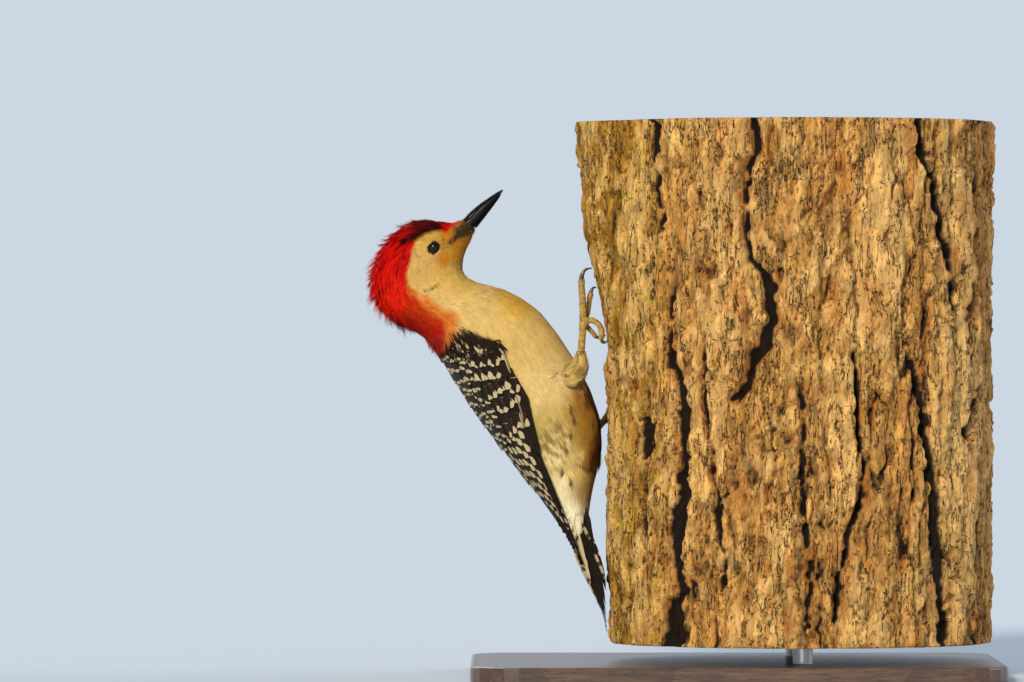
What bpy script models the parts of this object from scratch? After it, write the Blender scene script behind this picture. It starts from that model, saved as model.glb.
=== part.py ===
"""A male red-bellied woodpecker clinging to a short length of trunk, on a plain display stand.

Metres, +Z up. The bird's middle plane is the XZ plane: its belly and the trunk are towards +X, its right
side towards -Y. The origin is the centre of the stand's underside. The tables below are in millimetres:
x from the plane at the front of the trunk, y from the bird's middle plane, and z up from the tail's tip.
"""

import math

import bmesh
import bpy
from mathutils import Vector

MM = 0.001
GAP = 0.3 * MM

# Stand and perch
BASE_SIZE = (264 * MM, 208 * MM, 8 * MM)
BASE_CORNER = 24 * MM
BASE_BEVEL = 1.5 * MM
ROD_LENGTH = 9 * MM
ROD_RADIUS = 5 * MM
ROD_SPREAD = 58 * MM
TRUNK_FRONT_X = -64 * MM
PERCH_FOOT = BASE_SIZE[2] + ROD_LENGTH
PERCH_LENGTH = 260 * MM
PERCH_RADIUS = 96
BARK_EDGE = (  # height, x of the front of the bark there
    (0, 2.8), (12, 2.7), (24, 1.8), (34, 0.0), (46, -1.5), (54, -1.5), (70, 1.3), (113, 1.4), (143, 0.6),
    (154, -1.0), (163, -3.2), (172, -4.7), (180, -6.6), (189, -9.7), (223, -13.5), (256, -15.0),
)
FACET_HALF_ANGLE, FACET_FADE = 9, 9  # degrees: the front of the bark is nearly flat, then turns round
FURROWS = (  # degrees round the trunk from its front, and how deep
    (-45, 5.0), (-74, 5.0), (-98, 3.5), (-120, 3.0), (-142, 3.0), (-165, 3.5), (-188, 3.0),
    (-210, 3.5), (-232, 3.0), (-254, 3.5), (-277, 3.0), (-300, 4.0), (-325, 3.0), (-385, 2.0),
)
FURROW_HALF_ANGLE = 3.2
PLATE_STEP = 12  # degrees from one point of a plate to the next
FURROW_SWAY, FURROW_SWAY_HEIGHT = 2.2, 31
LOOSE_PLATE = (16, 6, 9, 16, 4.5)  # its angle and height, how far it reaches either way, how far it stands out

# Bird
TAIL_TIP_HEIGHT = PERCH_FOOT + 5 * MM
BODY_SIDES = 28
HEAD_END, NECK_END = 6.6, 9.3  # stations where the head and the neck stop
BODY = (  # back (x, z), front (x, z), half width, and where the widest point lies from front, 0, to back, 1
    ((-73.4, 205.4), (-65.0, 201.5), 4.3, 0.50),  # base of the bill
    ((-79.0, 204.3), (-67.0, 197.3), 7.8, 0.50),  # lores
    ((-86.5, 205.2), (-69.6, 193.0), 10.8, 0.49),
    ((-94.5, 205.8), (-71.4, 188.5), 12.6, 0.46),  # crown
    ((-104.0, 201.0), (-72.2, 184.2), 13.6, 0.44),  # eye
    ((-112.6, 191.5), (-72.2, 180.6), 14.3, 0.42),  # ear coverts
    ((-117.6, 178.5), (-70.5, 177.8), 14.8, 0.41),  # nape and throat
    ((-116.4, 166.5), (-67.0, 175.6), 15.3, 0.42),
    ((-109.3, 157.6), (-61.5, 173.8), 16.1, 0.44),
    ((-98.2, 151.6), (-53.0, 171.8), 17.3, 0.46),  # foot of the neck
    ((-86.0, 143.4), (-43.5, 167.3), 18.8, 0.46),  # shoulders and breast
    ((-77.8, 130.0), (-32.6, 159.2), 20.0, 0.46),
    ((-68.8, 115.4), (-21.2, 143.8), 20.6, 0.45),
    ((-58.8, 100.4), (-11.2, 127.0), 20.4, 0.44),  # belly between the thighs
    ((-48.0, 86.4), (-3.8, 108.6), 19.0, 0.44),
    ((-38.4, 74.6), (-2.6, 91.0), 16.4, 0.45),
    ((-30.0, 64.4), (-5.2, 79.6), 13.4, 0.47),  # vent
    ((-23.6, 57.0), (-8.0, 68.6), 10.6, 0.50),
    ((-19.0, 50.8), (-9.4, 56.6), 8.2, 0.50),  # tail coverts
    ((-16.6, 46.4), (-10.6, 49.4), 6.2, 0.50),
)

EYE_PLACE = (-86.4, 10.55, 192.0)
EYE_RADIUS = 4.0 * MM

# Bill, from base to tip: culmen (x, z), cutting edge (x, z), lower edge (x, z), half width
BILL = (
    ((-73.0, 205.7), (-69.3, 203.6), (-65.3, 201.8), 4.2),
    ((-67.8, 210.4), (-65.2, 207.7), (-62.2, 205.9), 3.7),
    ((-62.6, 214.5), (-61.1, 211.8), (-59.3, 210.0), 3.0),
    ((-57.5, 218.1), (-57.0, 215.9), (-56.2, 214.2), 2.1),
    ((-54.2, 220.4), (-54.0, 219.0), (-53.7, 217.8), 1.2),
    ((-52.7, 221.2), (-52.8, 220.3), (-53.0, 219.4), 0.6),
)

# Right wing, from shoulder to tip: upper edge (x, y, z), lower edge (x, y, z), outward bulge
WING = (
    ((-72.0, -13.5, 150.5), (-60.0, -17.5, 154.0), 1.5),
    ((-77.0, -12.8, 137.0), (-51.0, -20.6, 143.0), 4.0),
    ((-68.0, -11.0, 121.5), (-44.2, -21.9, 126.5), 4.8),
    ((-60.0, -9.2, 107.5), (-38.6, -21.4, 109.5), 4.8),
    ((-51.6, -7.4, 94.5), (-33.4, -19.2, 92.5), 4.4),
    ((-43.2, -5.9, 82.0), (-27.8, -16.0, 77.0), 3.8),
    ((-34.6, -5.0, 69.6), (-22.0, -13.0, 63.0), 3.1),
    ((-26.4, -4.5, 57.6), (-17.2, -10.2, 51.0), 2.3),
    ((-19.0, -4.4, 45.8), (-13.8, -7.8, 40.2), 1.5),
    ((-12.9, -4.9, 33.6), (-12.1, -5.9, 32.4), 0.5),
)
WING_THICKNESS = 3.4 * MM
WING_EDGE = 0.8 * MM

# Tail, from root to tip: ridge (x, z), outer edge (x, z), half width
TAIL = (
    ((-14.9, 43.0), (-10.2, 46.6), 6.6),
    ((-12.2, 36.0), (-5.4, 39.6), 10.4),
    ((-8.3, 26.6), (-1.7, 30.0), 12.4),
    ((-4.4, 17.2), (-0.4, 19.6), 12.0),
    ((-1.8, 8.4), (0.0, 9.6), 9.2),
    ((-0.4, 0.0), (0.3, 1.0), 5.6),
)
TAIL_THICKNESS = 1.5 * MM
TAIL_FEATHERS = 10
TAIL_SIDE_SHARE = 0.72  # length of an outermost tail feather against a central one
TAIL_NOTCH = 0.06

# Legs: points (x, y, z) with a radius at each, from the body out
THIGHS = {
    "right": (
        ((-33.0, -12.0, 127.0), 8.0), ((-24.5, -14.5, 128.5), 6.8), ((-17.4, -15.6, 128.4), 5.6),
        ((-13.9, -15.4, 131.6), 4.4), ((-13.2, -14.8, 137.0), 2.9), ((-13.1, -14.6, 140.0), 2.2),
    ),
    "left": (
        ((-27.0, 14.0, 104.0), 8.0), ((-19.5, 18.4, 97.5), 6.4), ((-12.8, 21.2, 94.4), 5.0),
        ((-8.8, 22.6, 96.4), 4.0), ((-6.2, 23.9, 99.6), 2.9), ((-5.0, 24.7, 101.2), 2.2),
    ),
}
FEET = {  # where the toes meet
    "right": (-12.0, -14.0, 154.5),
    "left": (0.8, 29.6, 107.6),
}
# Points after the foot itself: (x, y, z), or (y, z) where the toe lies on the bark. Toes 2 and 3 reach up,
# toes 1 and 4 back, as on every woodpecker.
TOES = {
    "right": {
        1: ((-9.8, -10.6, 152.4), (-7.6, -9.6, 150.0), (-6.2, -9.4, 148.2)),
        2: ((-10.2, -10.6, 159.0), (-9.0, -9.4, 165.0), (-8.4, -9.2, 168.6)),
        3: ((-12.2, -14.6, 164.0), (-12.8, -15.2, 171.5), (-12.9, -15.4, 175.4)),
        4: ((-8.4, -16.8, 156.0), (-4.4, -19.0, 154.0), (-2.9, -19.8, 150.4), (-3.0, -20.0, 146.8)),
    },
    "left": {
        1: ((27.2, 103.4), (26.4, 100.0), (26.2, 97.6)),
        2: ((29.0, 114.0), (28.8, 120.0), (28.6, 123.0)),
        3: ((33.0, 117.0), (35.6, 124.4), (36.6, 128.0)),
        4: ((34.4, 107.4), (38.6, 104.4), (40.2, 100.8)),
    },
}
CLAWS = {  # two bends after the toe's end, and the (y, z) where the tip meets the bark
    "right": {
        1: ((-4.8, -9.3, 147.2), (-2.6, -9.2, 147.6), (-9.2, 148.4)),
        2: ((-7.9, -9.1, 170.8), (-6.8, -9.1, 172.2), (-9.1, 172.2)),
        3: ((-12.6, -15.4, 178.6), (-10.8, -15.4, 181.2), (-15.4, 181.8)),
        4: ((-2.4, -20.1, 144.9), (-1.0, -20.2, 144.9), (-20.2, 145.8)),
    },
    "left": {
        1: ((26.2, 95.8), (26.2, 94.4), (26.2, 93.6)),
        2: ((28.6, 125.0), (28.6, 126.4), (28.6, 127.2)),
        3: ((37.2, 130.2), (37.8, 131.8), (38.0, 132.4)),
        4: ((41.0, 98.8), (41.6, 97.6), (41.8, 96.8)),
    },
}
TARSUS_RADIUS = 1.75
TOE_RADII = {1: 1.15, 2: 1.35, 3: 1.6, 4: 1.45}
CLAW_BASE_SHARE, CLAW_TIP_RADIUS = 0.78, 0.28
TOE_CLEARANCE, CLAW_ARCH = 0.5, 1.3  # how far a toe and a claw's bend stay off the bark

COLOURS = {  # colour, roughness, metallic
    "red_plumage": ((0.72, 0.03, 0.015), 0.8, 0.0),
    "cream_plumage": ((0.66, 0.5, 0.27), 0.85, 0.0),
    "barred_plumage": ((0.06, 0.045, 0.035), 0.7, 0.0),
    "bill": ((0.02, 0.02, 0.024), 0.3, 0.0),
    "eye": ((0.02, 0.008, 0.006), 0.05, 0.0),
    "leg_skin": ((0.4, 0.32, 0.19), 0.6, 0.0),
    "claw": ((0.09, 0.07, 0.06), 0.3, 0.0),
    "bark": ((0.27, 0.19, 0.11), 0.95, 0.0),
    "base": ((0.05, 0.035, 0.028), 0.4, 0.0),
    "rod": ((0.45, 0.45, 0.47), 0.35, 1.0),
}

materials = {}


# ---------------------------------------------------------------- general tools


def clear_scene():
    for obj in list(bpy.data.objects):
        bpy.data.objects.remove(obj)


def make_collection(name):
    collection = bpy.data.collections.new(name)
    bpy.context.scene.collection.children.link(collection)
    return collection


def make_materials():
    for name, (colour, roughness, metallic) in COLOURS.items():
        material = bpy.data.materials.new(name)
        material.use_nodes = True
        shader = material.node_tree.nodes["Principled BSDF"]
        shader.inputs["Base Color"].default_value = (*colour, 1)
        shader.inputs["Roughness"].default_value = roughness
        shader.inputs["Metallic"].default_value = metallic
        materials[name] = material


def bird_point(x, y, z):
    """A point of the tables, in metres."""
    return Vector((x * MM + TRUNK_FRONT_X, y * MM, z * MM + TAIL_TIP_HEIGHT))


def blend(a, b, share):
    return a + (b - a) * share


def spline_value(values, t):
    """Catmull-Rom through evenly spaced values, at t counted in stations."""
    last = len(values) - 1
    i = min(int(t), last - 1)
    f = t - i
    before, here, there = values[max(i - 1, 0)], values[i], values[i + 1]
    after = values[min(i + 2, last)]
    return 0.5 * (
        2 * here
        + (there - before) * f
        + (2 * before - 5 * here + 4 * there - after) * f**2
        + (3 * here - before - 3 * there + after) * f**3
    )


def spline_point(points, t):
    return Vector([spline_value([p[k] for p in points], t) for k in range(len(points[0]))])


def smooth_step(x):
    x = max(0.0, min(1.0, x))
    return x * x * (3 - 2 * x)


def profile_value(profile, at):
    """Eased value of a (place, value) profile at a place."""
    for (a, low), (b, high) in zip(profile, profile[1:]):
        if at <= b:
            return blend(low, high, smooth_step((at - a) / (b - a)))
    return profile[-1][1]


def add_object(name, mesh, material, collection):
    obj = bpy.data.objects.new(name, mesh)
    collection.objects.link(obj)
    if material:
        mesh.materials.append(materials[material])
    return obj


def skin_rings(name, rings, material, collection, smooth=True):
    """A closed body through rings of points that all have the same count, with its faces turned outwards."""
    mesh = bpy.data.meshes.new(name)
    bm = bmesh.new()
    rows = [[bm.verts.new(p) for p in ring] for ring in rings]
    count = len(rows[0])
    for row, after in zip(rows, rows[1:]):
        for k in range(count):
            bm.faces.new((row[k], row[(k + 1) % count], after[(k + 1) % count], after[k]))
    bm.faces.new(rows[0][::-1])
    bm.faces.new(rows[-1])
    bmesh.ops.recalc_face_normals(bm, faces=bm.faces[:])
    bmesh.ops.triangulate(bm, faces=[f for f in bm.faces if len(f.verts) > 4])
    bm.to_mesh(mesh)
    bm.free()
    if smooth:
        mesh.shade_smooth()
        mesh.set_sharp_from_angle(angle=math.radians(50))
    return add_object(name, mesh, material, collection)


def hide_helper(obj):
    obj.hide_render = True
    obj.display_type = "WIRE"


def cut_away(obj, cutter):
    hide_helper(cutter)
    modifier = obj.modifiers.new("cut_" + cutter.name, "BOOLEAN")
    modifier.operation = "DIFFERENCE"
    modifier.object = cutter


def join_to(obj, other):
    hide_helper(other)
    modifier = obj.modifiers.new("join_" + other.name, "BOOLEAN")
    modifier.operation = "UNION"
    modifier.object = other


# ---------------------------------------------------------------- body


def body_ring(t, grow=0.0, slide=0.0):
    """The body's outline across station t, pushed out by grow and slid tailwards by slide."""
    back = spline_point([s[0] for s in BODY], t)
    front = spline_point([s[1] for s in BODY], t)
    half_width = spline_value([s[2] for s in BODY], t) * MM + grow
    widest = spline_value([s[3] for s in BODY], t)
    back, front = bird_point(back[0], 0, back[1]), bird_point(front[0], 0, front[1])
    across = (back - front).normalized()
    back, front = back + across * grow, front - across * grow
    tailwards = across.cross(Vector((0, 1, 0))).normalized()
    ring = []
    for k in range(BODY_SIDES):
        angle = 2 * math.pi * k / BODY_SIDES
        side, along = math.sin(angle), math.cos(angle)
        share = widest + along * (1 - widest if along > 0 else widest)
        point = blend(front, back, share)
        point.y = half_width * side
        ring.append(point + tailwards * slide)
    return ring


def body_part(name, start, end, material, collection, grow=0.0):
    """The body between two stations, held back by half a gap at each end that meets a neighbour."""
    per_station = 1.25
    steps = max(3, round((end - start) * per_station))
    stations = [blend(start, end, i / steps) for i in range(steps + 1)]
    rings = [body_ring(t, grow) for t in stations]
    rings[0] = body_ring(start, grow, GAP / 2 if start > 0 else 0)
    rings[-1] = body_ring(end, grow, -GAP / 2 if end < len(BODY) - 1 else 0)
    return skin_rings(name, rings, material, collection)


def make_body(collection, cutters):
    last = len(BODY) - 1
    head = body_part("head", 0, HEAD_END, "red_plumage", collection)
    body_part("neck", HEAD_END, NECK_END, "cream_plumage", collection)
    body_part("trunk", NECK_END, last, "cream_plumage", collection)
    room = body_part("room_for_trunk", NECK_END - 0.2, last, None, cutters, grow=GAP)
    hide_helper(room)
    for side, y_sign in (("right", -1), ("left", 1)):
        centre = bird_point(EYE_PLACE[0], EYE_PLACE[1] * y_sign, EYE_PLACE[2])
        make_ball("eye_" + side, centre, EYE_RADIUS, "eye", collection)
        cut_away(head, make_ball("socket_" + side, centre, EYE_RADIUS + GAP, None, cutters))
    return room


def make_ball(name, centre, radius, material, collection):
    mesh = bpy.data.meshes.new(name)
    bm = bmesh.new()
    bmesh.ops.create_uvsphere(bm, u_segments=16, v_segments=10, radius=radius)
    bm.to_mesh(mesh)
    bm.free()
    mesh.shade_smooth()
    ball = add_object(name, mesh, material, collection)
    ball.location = centre
    ball.rotation_euler.x = math.pi / 2  # poles to the bird's sides
    return ball


# ---------------------------------------------------------------- bill


def arch_ring(top, bottom, half_width, sides=10):
    """A half-round arch over a flat bottom: top and bottom are points of the middle plane."""
    ring = []
    for k in range(sides + 1):
        angle = math.pi * k / sides
        point = blend(bottom, top, math.sin(angle) ** 0.9)
        point.y = half_width * math.cos(angle)
        ring.append(point)
    return ring


def make_bill(collection):
    culmen, cut, lower = ([bird_point(s[k][0], 0, s[k][1]) for s in BILL] for k in range(3))
    widths = [s[3] * MM for s in BILL]
    forward = (cut[-1] - cut[0]).normalized()
    apart = (culmen[0] - lower[0]).normalized() * GAP / 2
    steps = 12
    stations = [(len(BILL) - 1) * i / steps for i in range(steps + 1)]
    for name, edge, offset in (("bill_upper", culmen, apart), ("bill_lower", lower, -apart)):
        rings = [
            arch_ring(
                spline_point(edge, t) + forward * GAP,
                spline_point(cut, t) + offset + forward * GAP,
                spline_value(widths, t),
            )
            for t in stations
        ]
        skin_rings(name, rings, "bill", collection)


# ---------------------------------------------------------------- wings


def wing_ring(t, y_sign, points_across=8):
    """A curved blade across the wing at station t: the outer face from upper to lower edge, then back inside."""
    upper = spline_point([s[0] for s in WING], t)
    lower = spline_point([s[1] for s in WING], t)
    bulge = spline_value([s[2] for s in WING], t) * MM
    upper = bird_point(upper[0], upper[1] * -y_sign, upper[2])
    lower = bird_point(lower[0], lower[1] * -y_sign, lower[2])
    chord = lower - upper
    out = Vector((-chord.y, chord.x, 0)).normalized()
    if out.y * y_sign < 0:
        out.negate()
    tip_share = 1 - t / (len(WING) - 1)
    outer, inner = [], []
    for k in range(points_across + 1):
        share = k / points_across
        crown = 4 * share * (1 - share)
        on_face = blend(upper, lower, share) + out * bulge * crown
        thickness = WING_EDGE + (WING_THICKNESS - WING_EDGE) * crown * min(1, 1.6 * tip_share)
        outer.append(on_face)
        inner.append(on_face - out * thickness)
    return outer + inner[::-1]


def make_wing(side, y_sign, trunk_room, collection):
    steps = 12
    stations = [(len(WING) - 1) * i / steps for i in range(steps + 1)]
    rings = [wing_ring(t, y_sign) for t in stations]
    wing = skin_rings("wing_" + side, rings, "barred_plumage", collection)
    cut_away(wing, trunk_room)
    return wing


# ---------------------------------------------------------------- tail


def tail_point(t, side, inward):
    """A point of the arched tail: t counts stations from the root, side runs -1 to 1, inward is the depth."""
    ridge = spline_point([s[0] for s in TAIL], t)
    edge = spline_point([s[1] for s in TAIL], t)
    half_width = spline_value([s[2] for s in TAIL], t) * MM
    ridge, edge = bird_point(ridge[0], 0, ridge[1]), bird_point(edge[0], 0, edge[1])
    point = blend(ridge, edge, abs(side) ** 1.7)
    point.y = side * half_width
    return point + (edge - ridge).normalized() * inward


def make_tail(collection):
    """Ten stiff feathers in one arched fan, each ending in its own point."""
    across = 2 * TAIL_FEATHERS
    rows = 7
    outer, inner = [], []
    for j in range(across + 1):
        side = 2 * j / across - 1
        reach = 1 - (1 - TAIL_SIDE_SHARE) * abs(side) ** 1.4
        reach -= TAIL_NOTCH * (1 - j % 2)
        stations = [(len(TAIL) - 1) * reach * i / rows for i in range(rows + 1)]
        outer.append([tail_point(t, side, 0) for t in stations])
        inner.append([tail_point(t, side, TAIL_THICKNESS) for t in stations])
    rings = [[column[i] for column in outer] + [column[i] for column in inner[::-1]] for i in range(rows + 1)]
    tail = skin_rings("tail", rings, "barred_plumage", collection, smooth=False)
    return tail


# ---------------------------------------------------------------- legs


def tube_rings(points, radii, sides, steps):
    """Rings square to a smooth line through the points, with a radius eased between them."""
    last = len(points) - 1
    line = [spline_point(points, last * i / steps) for i in range(steps + 1)]
    sizes = [max(spline_value(radii, last * i / steps), min(radii)) for i in range(steps + 1)]
    rings = []
    aside = Vector((0, 1, 0))
    for i, centre in enumerate(line):
        along = (line[min(i + 1, steps)] - line[max(i - 1, 0)]).normalized()
        aside = (aside - along * aside.dot(along)).normalized()
        third = along.cross(aside)
        ring = []
        for k in range(sides):
            angle = 2 * math.pi * k / sides
            ring.append(centre + (aside * math.cos(angle) + third * math.sin(angle)) * sizes[i])
        rings.append(ring)
    return rings


def make_tube(name, points, radii, material, collection, sides=10, steps=8):
    points = [bird_point(*p) for p in points]
    rings = tube_rings(points, [r * MM for r in radii], sides, steps)
    return skin_rings(name, rings, material, collection)


def toward(start, end, distance):
    """The point that lies a distance in millimetres from start on the way to end."""
    start, end = Vector(start), Vector(end)
    return tuple(start + (end - start).normalized() * distance)


def on_bark(point, radius, clearance):
    """The point itself, or for a (y, z) the place where a toe of that radius lies that far off the bark."""
    if len(point) == 3:
        return point
    y, z = point
    return (bark_front(y, z) - radius - clearance, y, z)


def make_thigh(side, cutters_for_it, collection):
    points = [p for p, _ in THIGHS[side]]
    radii = [r for _, r in THIGHS[side]]
    thigh = make_tube("thigh_" + side, points, radii, "cream_plumage", collection, sides=14, steps=10)
    for cutter in cutters_for_it:
        cut_away(thigh, cutter)


def make_foot(side, collection, cutters):
    """Bare tarsus and four toes as one piece, and a claw for each toe."""
    gap = GAP / MM
    foot = FEET[side]
    ankle = THIGHS[side][-1][0]
    start = toward(ankle, foot, gap)
    r = TARSUS_RADIUS
    shin = [start, tuple(blend(Vector(start), Vector(foot), 0.5)), foot]
    tarsus = make_tube("foot_" + side, shin, [r * 1.05, r * 0.95, r * 1.15], "leg_skin", collection)
    for number, points in TOES[side].items():
        r = TOE_RADII[number]
        points = [on_bark(p, r, TOE_CLEARANCE) for p in points]
        radii = [r * 1.1, *[r * (0.92 if k % 2 else 1.06) for k in range(len(points))]]
        toe = make_tube(f"toe_{side}_{number}", [foot, *points], radii, None, cutters, sides=8, steps=7)
        join_to(tarsus, toe)
        make_claw(side, number, points[-1], radii[-1], collection)


def make_claw(side, number, toe_end, toe_radius, collection):
    base = toe_radius * CLAW_BASE_SHARE
    radii = [base, base * 0.85, base * 0.58, CLAW_TIP_RADIUS]
    bend, turn, tip = CLAWS[side][number]
    bend = on_bark(bend, radii[1], CLAW_ARCH)
    turn = on_bark(turn, radii[2], CLAW_ARCH)
    tip = on_bark(tip, CLAW_TIP_RADIUS, GAP / MM)
    start = toward(toe_end, bend, GAP / MM)
    make_tube(f"claw_{side}_{number}", [start, bend, turn, tip], radii, "claw", collection, sides=8, steps=6)


# ---------------------------------------------------------------- perch and stand


def bark_face(angle_deg, z):
    """x of the bark between its furrows: a facet in front, round elsewhere, and one plate that lifts."""
    angle_deg = (angle_deg + 180) % 360 - 180
    circle_x = PERCH_RADIUS * (1 - math.cos(math.radians(angle_deg)))
    facet = 1 - smooth_step((abs(angle_deg) - FACET_HALF_ANGLE) / FACET_FADE)
    plate_angle, plate_height, reach, height_reach, lift = LOOSE_PLATE
    off = math.hypot((angle_deg - plate_angle) / reach, (z - plate_height) / height_reach)
    return blend(circle_x, profile_value(BARK_EDGE, z), facet) - lift * (1 - smooth_step(off))


def bark_front(y, z):
    return bark_face(math.degrees(math.asin(y / PERCH_RADIUS)), z)


def bark_point(angle_deg, depth, z):
    """A point of the bark in millimetres, sunk towards the trunk's middle by depth."""
    y = PERCH_RADIUS * math.sin(math.radians(angle_deg))
    surface = Vector((bark_face(angle_deg, z), y, z))
    inwards = Vector((PERCH_RADIUS, 0, z)) - surface
    return bird_point(*(surface + inwards.normalized() * depth))


def furrow_angle(k, z):
    """Where furrow k runs at a height, in degrees; past the last one they go round again."""
    lap, k = divmod(k, len(FURROWS))
    return FURROWS[k][0] - 360 * lap + FURROW_SWAY * math.sin(z / FURROW_SWAY_HEIGHT + 1.7 * k)


def make_perch(collection):
    """A cut length of trunk: plates of bark, with an upright furrow between each two."""
    levels = 12
    rings = []
    for i in range(levels + 1):
        z = (blend(PERCH_FOOT, PERCH_FOOT + PERCH_LENGTH, i / levels) - TAIL_TIP_HEIGHT) / MM
        ring = []
        for k, (_, depth) in enumerate(FURROWS):
            ring.append(bark_point(furrow_angle(k, z), depth, z))
            start = furrow_angle(k, z) - FURROW_HALF_ANGLE
            end = furrow_angle(k + 1, z) + FURROW_HALF_ANGLE
            steps = max(2, round((FURROWS[k][0] - furrow_angle(k + 1, 0)) / PLATE_STEP))
            ring += [bark_point(blend(start, end, j / steps), 0, z) for j in range(steps + 1)]
        rings.append(ring)
    skin_rings("perch_trunk", rings, "bark", collection, smooth=False)


def make_base(collection):
    outline = bpy.data.curves.new("stand_base", "CURVE")
    outline.dimensions = "2D"
    outline.fill_mode = "BOTH"
    outline.extrude = BASE_SIZE[2] / 2
    spline = outline.splines.new("POLY")
    points = []
    corner_steps = 5
    for quarter in range(4):
        x_sign, y_sign = (1, 1, -1, -1)[quarter], (-1, 1, 1, -1)[quarter]
        centre_x = x_sign * (BASE_SIZE[0] / 2 - BASE_CORNER)
        centre_y = y_sign * (BASE_SIZE[1] / 2 - BASE_CORNER)
        for k in range(corner_steps + 1):
            angle = math.radians(-90 + 90 * quarter + 90 * k / corner_steps)
            points.append((centre_x + BASE_CORNER * math.cos(angle), centre_y + BASE_CORNER * math.sin(angle)))
    spline.points.add(len(points) - 1)
    for point, (x, y) in zip(spline.points, points):
        point.co = (x, y, 0, 1)
    spline.use_cyclic_u = True
    base = bpy.data.objects.new("stand_base", outline)
    base.location.z = BASE_SIZE[2] / 2
    collection.objects.link(base)
    outline.materials.append(materials["base"])
    weld = base.modifiers.new("weld", "WELD")
    weld.merge_threshold = 0.00005
    bevel = base.modifiers.new("bevel", "BEVEL")
    bevel.width = BASE_BEVEL
    bevel.segments = 2
    bevel.limit_method = "ANGLE"
    bevel.angle_limit = math.radians(40)


def make_rods(collection):
    for number, y_sign in enumerate((-1, 1), 1):
        mesh = bpy.data.meshes.new(f"stand_rod_{number}")
        bm = bmesh.new()
        length = ROD_LENGTH - 2 * GAP
        bmesh.ops.create_cone(
            bm, cap_ends=True, segments=20, radius1=ROD_RADIUS, radius2=ROD_RADIUS, depth=length
        )
        bm.to_mesh(mesh)
        bm.free()
        rod = add_object(f"stand_rod_{number}", mesh, "rod", collection)
        rod.location = (PERCH_RADIUS * MM + TRUNK_FRONT_X, ROD_SPREAD * y_sign, BASE_SIZE[2] + ROD_LENGTH / 2)


# ---------------------------------------------------------------- build


def main():
    clear_scene()
    make_materials()
    parts = make_collection("woodpecker_on_trunk")
    cutters = make_collection("cutters")
    trunk_room = make_body(parts, cutters)
    make_bill(parts)
    for side, y_sign in (("right", -1), ("left", 1)):
        make_wing(side, y_sign, trunk_room, parts)
        make_thigh(side, [trunk_room], parts)
        make_foot(side, parts, cutters)
    make_tail(parts)
    make_perch(parts)
    make_base(parts)
    make_rods(parts)


main()
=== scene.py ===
"""Looks of a male red-bellied woodpecker on a cut length of trunk: skin, plumage, bark, stand and studio.

Tables are in millimetres in the bird's own frame, as in the CAD: x from the plane at the front of the trunk,
y from the bird's middle plane with its right side negative, z up from the tip of its tail.
"""

import math

import bmesh
import bpy
import numpy as np
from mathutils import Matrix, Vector
from mathutils.bvhtree import BVHTree
from mathutils.kdtree import KDTree

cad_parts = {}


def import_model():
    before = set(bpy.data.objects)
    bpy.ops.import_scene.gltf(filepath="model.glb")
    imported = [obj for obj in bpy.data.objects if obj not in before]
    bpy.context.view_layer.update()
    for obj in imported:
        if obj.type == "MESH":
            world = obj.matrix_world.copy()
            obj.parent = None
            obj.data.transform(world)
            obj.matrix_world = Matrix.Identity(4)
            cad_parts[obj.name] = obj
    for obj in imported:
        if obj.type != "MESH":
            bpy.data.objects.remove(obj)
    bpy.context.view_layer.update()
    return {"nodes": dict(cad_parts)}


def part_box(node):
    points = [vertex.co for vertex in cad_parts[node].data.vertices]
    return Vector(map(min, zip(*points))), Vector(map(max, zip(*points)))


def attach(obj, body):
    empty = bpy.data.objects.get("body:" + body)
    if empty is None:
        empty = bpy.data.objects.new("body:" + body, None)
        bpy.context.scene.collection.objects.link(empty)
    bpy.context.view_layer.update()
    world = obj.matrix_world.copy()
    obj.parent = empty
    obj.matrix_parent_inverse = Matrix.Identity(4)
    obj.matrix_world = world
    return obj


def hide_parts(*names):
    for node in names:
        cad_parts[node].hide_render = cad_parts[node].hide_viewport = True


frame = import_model()

MM = 0.001
EYE = np.array((-86.4, -10.55, 192.0))
EYE_RADIUS = 4.0
rng = np.random.default_rng(7)

# ---------------------------------------------------------------- frame


def middle(node):
    low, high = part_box(node)
    return (low + high) / 2


ORIGIN = np.array((middle("eye_right").x - EYE[0] * MM, 0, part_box("tail")[0].z))


def world(points):
    """Bird millimetres to metres."""
    return np.asarray(points) * MM + ORIGIN


def bird_mm(points):
    """Metres to bird millimetres."""
    return (points - ORIGIN) / MM


def vertex_values(mesh, field):
    """One row of three numbers for each vertex of a mesh."""
    values = np.empty(len(mesh.vertices) * 3)
    mesh.vertices.foreach_get(field, values)
    return values.reshape(-1, 3)


def node_mesh(*names):
    """Points, in bird millimetres, and triangles of some CAD nodes together."""
    points, triangles, count = [], [], 0
    for name in names:
        mesh = frame["nodes"][name].data
        mesh.calc_loop_triangles()
        corners = np.empty(len(mesh.loop_triangles) * 3, np.int32)
        mesh.loop_triangles.foreach_get("vertices", corners)
        points.append(bird_mm(vertex_values(mesh, "co")))
        triangles.append(corners.reshape(-1, 3) + count)
        count += len(mesh.vertices)
    return np.concatenate(points), np.concatenate(triangles)


# ---------------------------------------------------------------- number tools


def ramp(x, low, high):
    """0 below low, 1 above high, smooth between; low may be the greater."""
    f = np.clip((np.asarray(x, float) - low) / (high - low), 0, 1)
    return f * f * (3 - 2 * f)


def table(x, pairs):
    """Value at x from (place, value) pairs."""
    places, values = zip(*pairs)
    return np.interp(x, places, values)


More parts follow.
